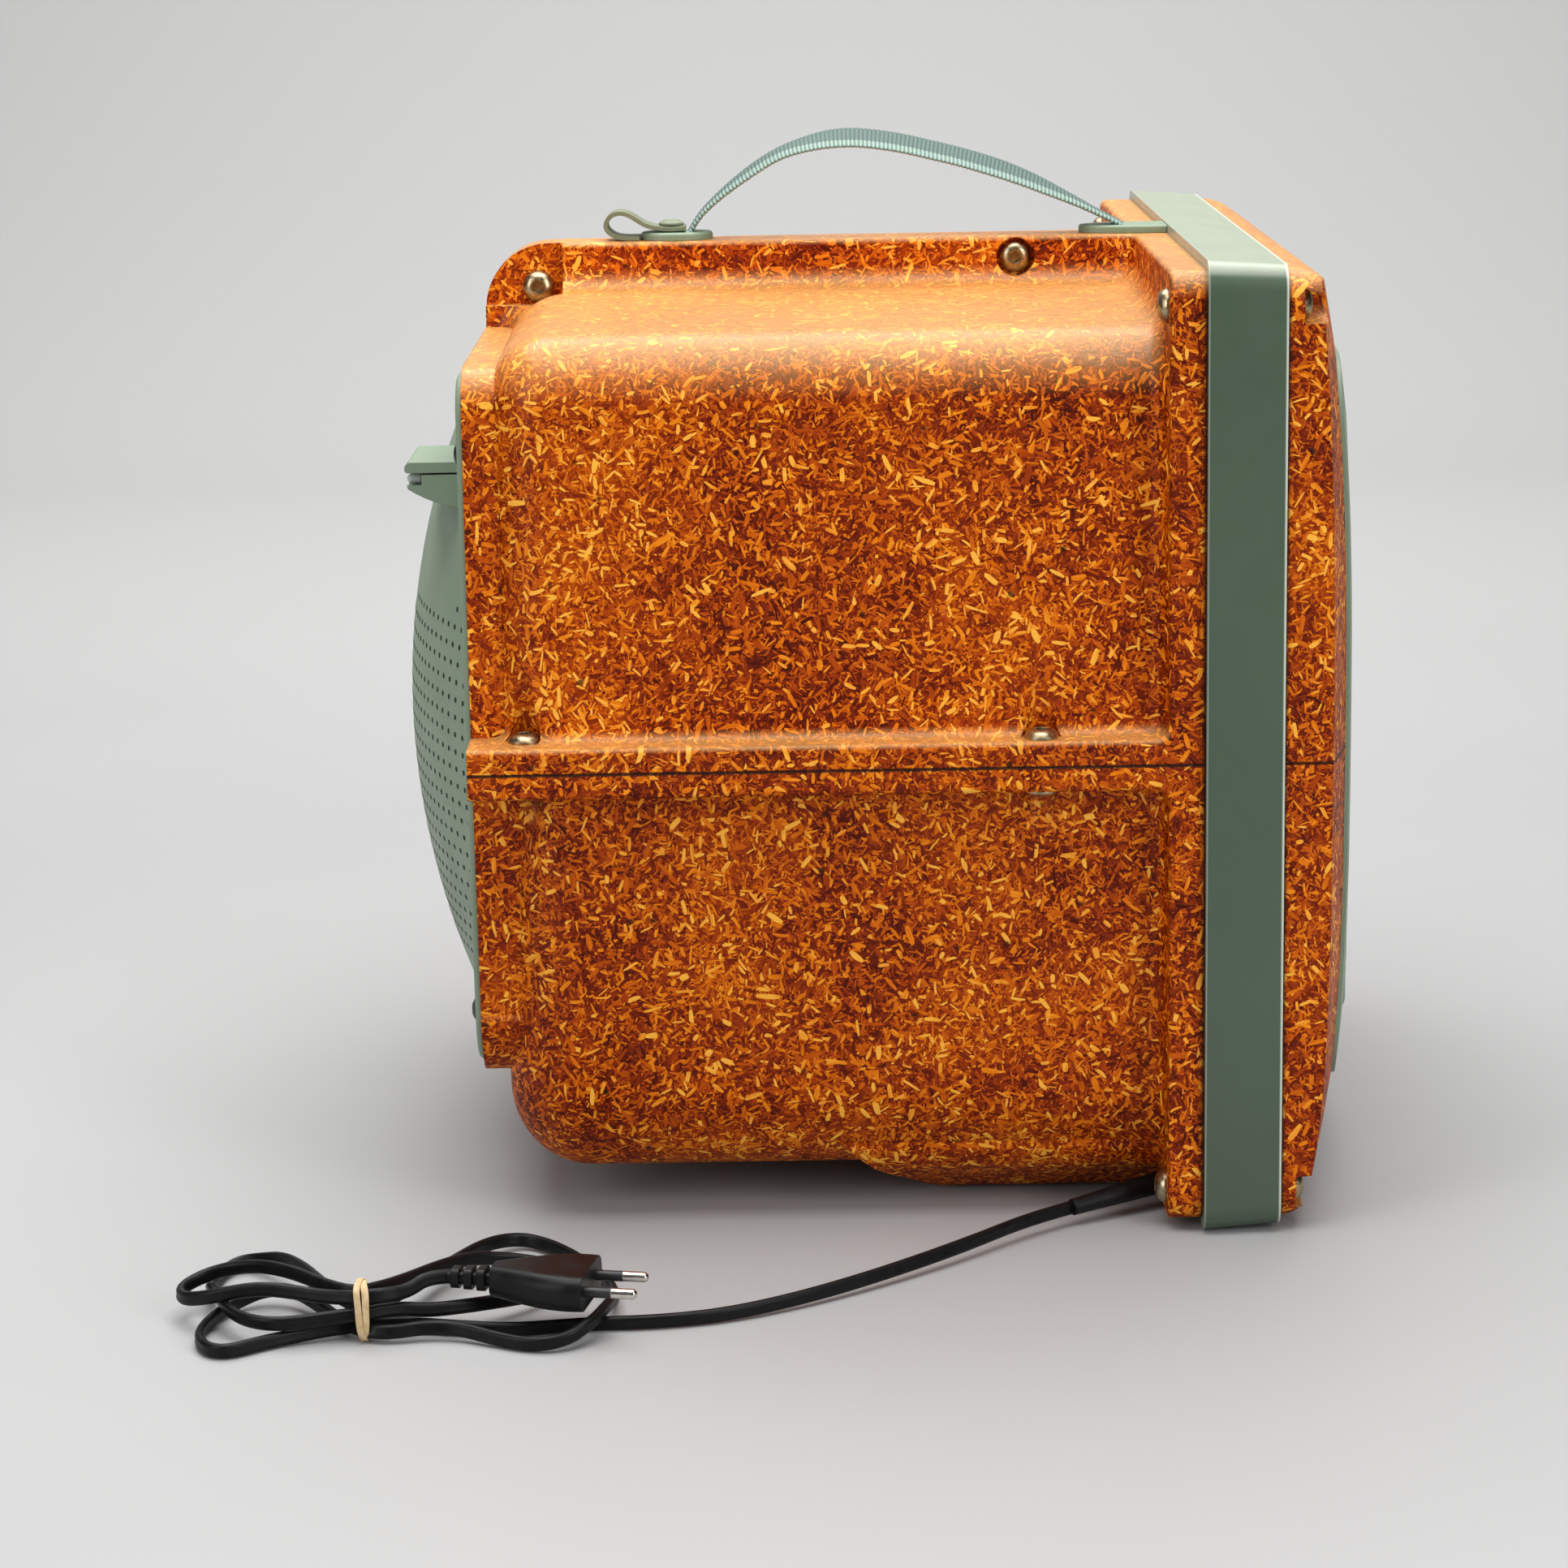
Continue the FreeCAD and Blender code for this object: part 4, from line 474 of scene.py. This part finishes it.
# the half that stands up is painted darker: painted shade on the raised far half
web.col(web.mix(web.maprange(uvs[1], -0.6, 1.0, 0.0, 0.85, True), weave_shaded_col, web.mix(0.80, weave_shaded_col, (0.028, 0.062, 0.058))))
web.rough(web.maprange(fib, 0.3, 0.7, 0.62, 0.80))
web.normal(web.bump(fib, 0.25, 0.0002))
web.set(Sheen_Weight=0.05, Sheen_Roughness=0.4)

ASSIGN = {
    "chipboard": (wood, ["rear_shell_upper_left", "rear_shell_upper_right", "rear_shell_lower", "front_shell"]),
    "band": (band_paint.m, ["band_ring"]),
    "cover": (cover_green.m, ["rear_cover", "front_bezel"]),
    "plates": (plate_green.m, ["strap_plate_front", "strap_plate_rear"]),
    "tab": (tab_mat.m, ["strap_loop_tab", "strap_rivet"]),
    "screws": (screw.m, ["flange_bolts", "flange_nuts", "spine_bolts", "spine_nuts", "corner_bolts", "corner_nuts"]),
    "black": (black_steel.m, ["cover_screws", "tube_screws"]),
    "chrome": (chrome.m, ["aerial_root", "aerial_section_1", "aerial_section_2", "aerial_section_3"]),
    "brass": (brass.m, ["aerial_socket"]),
    "tip": (tip_p.m, ["aerial_tip"]),
    "steel": (steel.m, ["crt_rim_band", "mains_transformer"]),
    "tin": (tin.m, ["tuner_module"]),
    "alu": (alu.m, ["heat_sink"]),
    "white": (white_p.m, ["purity_rings"]),
    "dark": (dark_p.m, ["chassis_frame", "flyback_transformer", "loudspeaker"]),
    "ferrite": (ferrite.m, ["deflection_yoke"]),
    "cap": (cap_sleeve.m, ["main_capacitor", "board_capacitors"]),
    "tape": (tape.m, ["degauss_coil"]),
    "board": (board.m, ["chassis_board", "neck_board", "control_board"]),
    "glass": (glass.m, ["crt_panel"]),
    "cone": (cone.m, ["crt_funnel"]),
    "keys": (key_p.m, ["power_button", "key_1", "key_2", "key_3", "key_4"]),
    "ir": (ir_p.m, ["ir_window"]),
    "plug": (plug_r.m, ["plug_body"]),
    "pins": (pin.m, ["plug_pins"]),
}
for mat, names in ASSIGN.values():
    for nm in names:
        o = N[nm]
        if not o.material_slots:
            o.data.materials.append(mat)
        for s in o.material_slots:
            s.material = mat

# ------------------------------------------------------------------ mains lead: one cord from the sleeve to the plug
LEAD = [(-171.6, -72.9, 7.5), (-184.5, -54.9, 7.2), (-211, -29.5, 6.2), (-238.5, 1.5, 5), (-261.5, 32, 4), (-277.5, 61, 3.2), (-283.5, 86, 3), (-284.5, 108.5, 3)]
# the bundle, as (y, x, z)
COIL = [
    (124, -287, 3), (142, -290, 3), (160, -287, 3.2), (176, -282, 4.2), (191, -281, 5.4), (205, -284, 5), (219, -291, 3.6), (232, -300, 3), (243, -309, 3),
    (251, -306, 3), (256, -294, 3), (255, -280, 3), (251, -267, 3.2), (245, -256, 4), (236, -250, 6), (225, -252, 8), (214, -263, 9.5), (204, -277, 10.5), (194, -288, 11),
    (184, -290, 10.6), (173, -289, 8.5), (160, -292, 5), (146, -300, 3.2), (132, -307, 3), (120, -306, 4.5), (111, -298, 8.2), (106.5, -286, 9.6), (104.5, -274, 8),
    (104, -261, 4.5), (106, -245, 3), (113, -227, 3), (123, -208, 3), (134, -194, 3.2), (145, -189, 4), (157, -199, 5.5), (168, -217, 8), (178, -238, 12), (187, -258, 15.5), (195, -271, 17),
    (204, -265, 18), (213, -252, 16.5), (222, -238, 13.5), (232, -225, 10), (242, -215, 6), (251, -212, 4), (256, -219, 3), (258, -232, 3), (258, -246, 5),
    (255, -258, 9), (251, -270, 10.2), (246, -282, 9.4), (239, -291, 8.8), (229, -297, 9), (218, -300, 10.5), (206, -301, 12.5), (194, -300, 13.5),
    (183, -294, 13.2), (172, -288, 10.2), (161, -281, 8.9), (149, -272, 7.4), (137, -263, 6.2), (126, -251, 5), (121, -238, 4), (124, -226, 3.6), (134, -219, 4), (147, -219, 6),
    (160, -226, 9.5), (171, -238, 13.5), (181, -255, 18), (189, -270, 21.5), (198, -279, 22.6),
    (210, -271, 21.2), (222, -262, 19), (236, -254, 16.8), (248, -249, 14.6), (258, -249, 12), (265, -254, 10), (267, -262, 9.6), (264, -271, 10.2), (256, -277, 12.4), (246, -279, 15),
    (234, -280, 17), (222, -283, 19), (209, -288, 22.4), (197, -293, 25), (187, -292, 25.2), (179, -285.5, 22.6), (172, -278.5, 20), (163, -275.6, 19),
]
# the rubber band draws six passes together into two columns of three
STACK = [(-285.6, 4.2), (-291.6, 4.2), (-285.5, 10.6), (-291.7, 10.6), (-285.6, 17.0), (-291.4, 17.0)]
WAIST, REACH = 195.4, 40.0
runs, cur = [], []
for i, (y, x, z) in enumerate(COIL):
    if abs(y - WAIST) < REACH:
        cur.append(i)
    elif cur:
        runs.append(cur)
        cur = []
if cur:
    runs.append(cur)
for run_, (tx, tz) in zip(runs, STACK):
    c = min(run_, key=lambda i: abs(COIL[i][0] - WAIST))
    k = c + 1 if c + 1 in run_ and (COIL[c + 1][0] - WAIST) * (COIL[c][0] - WAIST) <= 0 else c - 1
    f = (WAIST - COIL[c][0]) / ((COIL[k][0] - COIL[c][0]) or 1.0)
    x0 = COIL[c][1] + (COIL[k][1] - COIL[c][1]) * f
    z0 = COIL[c][2] + (COIL[k][2] - COIL[c][2]) * f
    for i in run_:
        y, x, z = COIL[i]
        wgt = smooth01(1.15 * (1 - abs(y - WAIST) / REACH)) if i < len(COIL) - 2 else 0.0
        COIL[i] = (y, x + (tx - x0) * wgt, max(z + (tz - z0) * wgt, 3.0))
route = [mm(*p) for p in LEAD] + [mm(x, y, z) for (y, x, z) in COIL]
cu = bpy.data.curves.new("lead_line", "CURVE")
cu.dimensions = "3D"
cu.resolution_u = 10
sp = cu.splines.new("NURBS")
sp.points.add(len(route) - 1)
for i, p in enumerate(route):
    sp.points[i].co = (*p, 1.0)
sp.order_u = 3
sp.use_endpoint_u = True
line_ob = bpy.data.objects.new("lead_line", cu)
scene.collection.objects.link(line_ob)
bpy.context.view_layer.update()
me = bpy.data.meshes.new_from_object(line_ob.evaluated_get(bpy.context.evaluated_depsgraph_get()))
path = [v.co.copy() for v in me.vertices]
bpy.data.meshes.remove(me)
bpy.data.objects.remove(line_ob)
clean = [path[0]]
for p in path[1:]:
    if (p - clean[-1]).length > 0.0009:
        clean.append(p)
path = clean


def two_core(w, t, n=28):
    """flat two-core section: w wide, t thick, a shallow groove between the cores"""
    r = t / 2
    c = w / 2 - r
    out = []
    for k in range(n):
        a = 2 * math.pi * k / n
        ca, sa = math.cos(a), math.sin(a)
        x = c * ca / math.sqrt(ca * ca + 0.10) + r * ca
        y = r * sa * (1 - 0.20 * math.exp(-(x / (0.30 * r)) ** 2))
        out.append((x, y))
    return out


sec = two_core(0.0056, 0.0036)
frames = []
n_all = len(path)
run = 0.0
for i, p in enumerate(path):
    t = (path[min(i + 1, n_all - 1)] - path[max(i - 1, 0)]).normalized()
    if i:
        run += (p - path[i - 1]).length
    upv = Vector((0, 0, 1))
    side = t.cross(upv).normalized()
    u2 = side.cross(t).normalized()
    lean = 0.0
    if run > 0.03:
        k = smooth01((run - 0.03) / 0.06)
        lean = k * (0.20 * math.sin(run * 21.0 + 0.6) + 0.13 * math.sin(run * 47.0))
    if p.y < 0.05 and run < 0.16:
        lean += 0.25 * smooth01((run - 0.04) / 0.05) * smooth01((0.16 - run) / 0.05)
    a = u2 * math.cos(lean) + side * math.sin(lean)      # the wide way
    b = t.cross(a).normalized()
    frames.append((a, b))
cord = sweep("mains_lead", path, lambda i, n: sec, frames)
cord.data.materials.append(sheath.m)
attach(cord, "set")
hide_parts("mains_cord", "cord_hank")

# rubber band: two slanted wraps round the waist of the bundle
def hull_ring(cx, cy, cz, rx, rz, slant, wide, thick, name, ph=0.0, sq=2.25):
    pts, fr = [], []
    K = 72
    for k in range(K):
        a = 2 * math.pi * k / K
        ca, sa = math.cos(a), math.sin(a)
        x = rx * abs(ca) ** (2 / sq) * (1 if ca > 0 else -1)
        z = rz * abs(sa) ** (2 / sq) * (1 if sa > 0 else -1)
        y = slant * math.cos(a + ph)
        pts.append(mm(cx + x, cy + y, cz + z))
    for k in range(K):
        t = (pts[(k + 1) % K] - pts[k - 1]).normalized()
        out = (pts[k] - mm(cx, cy, cz)); out.y = 0; out = (out - t * out.dot(t)).normalized()
        fr.append((t.cross(out).normalized(), out))
    w, h = wide / 2000, thick / 2000
    secb = [(-w, -h * 0.6), (-w * 0.8, -h), (w * 0.8, -h), (w, -h * 0.6), (w, h * 0.6), (w * 0.8, h), (-w * 0.8, h), (-w, h * 0.6)]
    return pts, fr, secb


ring_v, ring_f = [], []
for (sl_, ph, wd, grow) in ((1.7, 0.3, 2.6, 0.0), (-1.5, 0.9, 2.4, 0.55)):
    pts, fr, secb = hull_ring(-288.6, 195.4, 11.2, 6.7 + grow, 10.2 + grow, sl_, wd, 0.8, "rb", ph, 3.6)
    base = len(ring_v)
    m_ = len(secb)
    for p, (a, b) in zip(pts, fr):
        for (u, v) in secb:
            ring_v.append(p + a * u + b * v)
    K = len(pts)
    for i in range(K):
        j = (i + 1) % K
        for k in range(m_):
            l = (k + 1) % m_
            ring_f.append((base + i * m_ + k, base + i * m_ + l, base + j * m_ + l, base + j * m_ + k))
rb = make_mesh("band_round_lead", ring_v, ring_f)
rb.data.materials.append(elastic.m)
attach(rb, "set")
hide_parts("rubber_band")

# strain relief: a short plain tapered sleeve
A0, A1 = mm(-150, -109.5, 10.4), mm(-171.6, -72.9, 7.5)
ax = (A1 - A0).normalized()
L = (A1 - A0).length
s1 = ax.cross(Vector((0, 0, 1))).normalized(); s2 = s1.cross(ax)
pts, fr, rad = [], [], []
K = 120
for i in range(K + 1):
    d = L * i / K
    r = 4.5 + (3.3 - 4.5) * i / K
    g = 0.0
    pts.append(A0 + ax * d); fr.append((s1, s2)); rad.append((r - g) * 0.001)
sleeve = sweep("lead_sleeve", pts, lambda i, n: [(rad[i] * math.cos(2 * math.pi * k / 28), rad[i] * math.sin(2 * math.pi * k / 28)) for k in range(28)], fr)
sleeve.data.materials.append(plug_r.m)
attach(sleeve, "set")
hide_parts("strain_relief")

# ------------------------------------------------------------------ carrying strap, woven
SC = [(199.2, 376.9), (197.6, 379.4), (191, 388.6), (177.5, 400.6), (162, 410.6), (146.5, 415), (130, 416.2), (113, 414.2), (96, 410.3), (79.5, 405.8),
      (57.5, 398.4), (39.5, 390.6), (26, 383.4), (17, 378.6), (14.2, 377)]
SC = [(y - 123.5, z) for (y, z) in SC]
fine = [catmull([(a, b, 0.0) for a, b in SC], (len(SC) - 1) * k / 900.0) for k in range(901)]
acc = [0.0]
for a, b in zip(fine, fine[1:]):
    acc.append(acc[-1] + (b - a).length)
total = acc[-1]
RIB = 1.75
NS = int(total / RIB * 6)
NW = 40
idx = 0
st = []
for k in range(NS + 1):
    s = total * k / NS
    while idx < len(acc) - 2 and acc[idx + 1] < s:
        idx += 1
    f = (s - acc[idx]) / max(acc[idx + 1] - acc[idx], 1e-9)
    st.append((s, fine[idx].lerp(fine[idx + 1], f)))
tv, tf, wv = [], [], []
for layer in (0, 1):
    for k, (s, p) in enumerate(st):
        q = st[min(k + 1, NS)][1] - st[max(k - 1, 0)][1]
        tan = Vector((0, q.x, q.y)).normalized()
        t = s / total
        e = smooth01(min(t, 1 - t) / 0.22)
        hw = 6.4 + 4.3 * e
        crease = smooth01((t - 0.22) / 0.18) * smooth01((0.93 - t) / 0.25)
        tn = math.radians(2 + 4 * e)
        tfar = math.radians(4 + 6 * e + 15 * crease)
        nrm = Vector((1, 0, 0)).cross(tan)
        if nrm.z < 0:
            nrm = -nrm
        wave = 0.32 * math.cos(2 * math.pi * s / RIB)
        for j in range(NW + 1):
            v = -1 + 2.0 * j / NW
            w = hw * (1 + (0.028 * math.cos(2 * math.pi * s / RIB)))
            x = w * v
            # near half lies flat, the far half stands up along a crease
            blendf = smooth01((v + 0.12) / 0.24)
            up_ = x * math.tan(tn) * (1 - blendf) + blendf * x * math.tan(tfar) - 1.2 * e
            xx = x * (math.cos(tn) * (1 - blendf) + blendf * math.cos(tfar))
            col_w = 1.25
            row = int(math.floor(s / RIB + 0.5))
            ph = 0.5 if row % 2 else 0.0
            weave = 0.5 + 0.5 * math.cos(2 * math.pi * s / RIB)
            yarn = 0.5 + 0.5 * math.cos(2 * math.pi * (x / col_w + ph))
            hgt = (weave ** 0.6) * (0.45 + 0.55 * yarn)
            edge = smooth01((1 - abs(v)) / 0.10)
            th = (0.55 + 0.34 * hgt) * (0.35 + 0.65 * edge)
            off = th if layer == 0 else -th
            tv.append((Vector((xx, p.x, p.y)) + nrm * (up_ + off)) * 0.001)
            wv.append((s, x, hgt))
rowlen = NW + 1
tot = (NS + 1) * rowlen
for k in range(NS):
    for j in range(NW):
        a = k * rowlen + j
        tf.append((a, a + 1, a + rowlen + 1, a + rowlen))
        a += tot
        tf.append((a, a + rowlen, a + rowlen + 1, a + 1))
for k in range(NS):
    for j in (0, NW):
        a, b = k * rowlen + j, (k + 1) * rowlen + j
        tf.append((a, b, b + tot, a + tot) if j == 0 else (b, a, a + tot, b + tot))
for k in (0, NS):
    for j in range(NW):
        a, b = k * rowlen + j, k * rowlen + j + 1
        tf.append((b, a, a + tot, b + tot) if k == 0 else (a, b, b + tot, a + tot))
strap = make_mesh("carrying_strap", tv, tf)
att = strap.data.attributes.new("weave", "FLOAT_VECTOR", "POINT")
att.data.foreach_set("vector", [c for w in wv for c in w])
strap.data.materials.append(web.m)
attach(strap, "set")
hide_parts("strap")

# ------------------------------------------------------------------ rear cover perforations: dark discs, painted shade for the holes
R0, CY, CZ = 313.0, -117.4, 187.0
hv, hf = [], []
# painted shade: a near-black colour standing for the inside of each hole
hole = Mat("vent_hole_shade")
hole.col(hole.ramp(hole.noise(300.0), [(0.3, (0.004, 0.006, 0.005)), (0.7, (0.010, 0.014, 0.011))]))
hole.rough(hole.maprange(hole.noise(200.0), 0.3, 0.7, 0.6, 0.85))


def add_hole(x, z, r=1.15):
    d = R0 ** 2 - x * x - (z - CZ) ** 2
    y = math.sqrt(d) + CY
    n = Vector((x, y - CY, z - CZ)).normalized()
    a = n.cross(Vector((0, 0, 1))).normalized(); b = a.cross(n)
    c = Vector((x, y, z))
    base = len(hv)
    K = 12
    for (rr_, lift) in ((r, 0.03), (r * 0.92, 0.09)):
        for k in range(K):
            q = 2 * math.pi * k / K
            hv.append((c + a * (rr_ * math.cos(q)) + b * (rr_ * math.sin(q)) + n * lift) * 0.001)
    hv.append((c + n * 0.09) * 0.001)
    for k in range(K):
        l = (k + 1) % K
        hf.append((base + k, base + l, base + K + l, base + K + k))
        hf.append((base + K + k, base + K + l, base + 2 * K))


ROWZ = [95.0 + 7.0 * i for i in range(22)]
for z in ROWZ:
    for k in range(-18, 19):
        x = 7.5 * k
        if z > 238 and abs(x) < 118:
            continue
        if z > 231 and abs(x) < 40:
            continue
        if (x - 112) ** 2 + (z - 84) ** 2 < 15 ** 2:
            continue
        add_hole(x, z)
vents = make_mesh("vent_shade_discs", hv, hf, smooth=False)
vents.data.materials.append(hole.m)
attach(vents, "set")

# ------------------------------------------------------------------ floor, backdrop, light
fl = Mat("studio_paper")
# painted light: the paper grows lighter away from the camera, up onto the backdrop
backdrop_painted_light = fl.maprange(fl.node("ShaderNodeSeparateXYZ", {"Vector": fl.obj}).outputs[0], 0.4, 2.3, 0.0, 1.0, True)
fl.col(fl.mix(backdrop_painted_light, fl.ramp(fl.noise(3.0, 4.0, 0.5), [(0.3, (0.372, 0.374, 0.378)), (0.7, (0.382, 0.384, 0.388))]), (0.56, 0.56, 0.56)))
fl.rough(0.55)
fl.set(Specular_IOR_Level=0.25)
prof = [(-4.0, 0.0), (1.9, 0.0)]
for k in range(1, 17):
    a = math.pi / 2 * k / 16
    prof.append((1.9 + 1.0 * math.sin(a), 1.0 - 1.0 * math.cos(a)))
prof.append((2.9, 4.5))
fv, ff = [], []
for (x, z) in prof:
    fv += [(x, -6.0, z - 0.0001), (x, 6.0, z - 0.0001)]
for k in range(len(prof) - 1):
    ff.append((2 * k, 2 * k + 2, 2 * k + 3, 2 * k + 1))
floor = make_mesh("studio_floor", fv, ff)
floor.data.materials.append(fl.m)


def area(name, loc, target, size, size_y, power, col=(1, 1, 1)):
    d = bpy.data.lights.new(name, "AREA")
    d.shape = "RECTANGLE"
    d.size, d.size_y = size, size_y
    d.energy = power
    d.color = col
    o = bpy.data.objects.new(name, d)
    o.location = loc
    o.rotation_euler = (Vector(target) - Vector(loc)).to_track_quat("-Z", "Y").to_euler()
    scene.collection.objects.link(o)
    return o


area("soft_top", (0.12, 0.0, 2.0), (0.05, 0.0, 0.2), 2.0, 2.6, 82.0, (1.0, 0.99, 0.975))
area("soft_left", (-1.55, 1.65, 1.05), (0.0, 0.1, 0.2), 0.8, 1.6, 17.0)
area("soft_right", (-1.75, -1.55, 1.05), (0.0, -0.1, 0.2), 0.8, 1.6, 23.0)
front_fill = area("soft_camera", (-3.0, 0.2, 1.7), (0.0, 0.0, 0.25), 1.8, 1.4, 3.5)
front_fill.visible_glossy = False
area("soft_back", (1.6, 0.3, 2.2), (1.2, 0.0, 0.0), 2.4, 1.2, 19.0)
w = bpy.data.worlds.new("studio")
w.use_nodes = True
bg = w.node_tree.nodes["Background"]
bg.inputs[0].default_value = (1.0, 1.0, 1.0, 1)
bg.inputs[1].default_value = 0.14
w.cycles_visibility.glossy = False      # the room behind the lamps is dark
scene.world = w
scene.view_settings.view_transform = "Standard"
scene.view_settings.look = "None"
scene.view_settings.exposure = 0.0
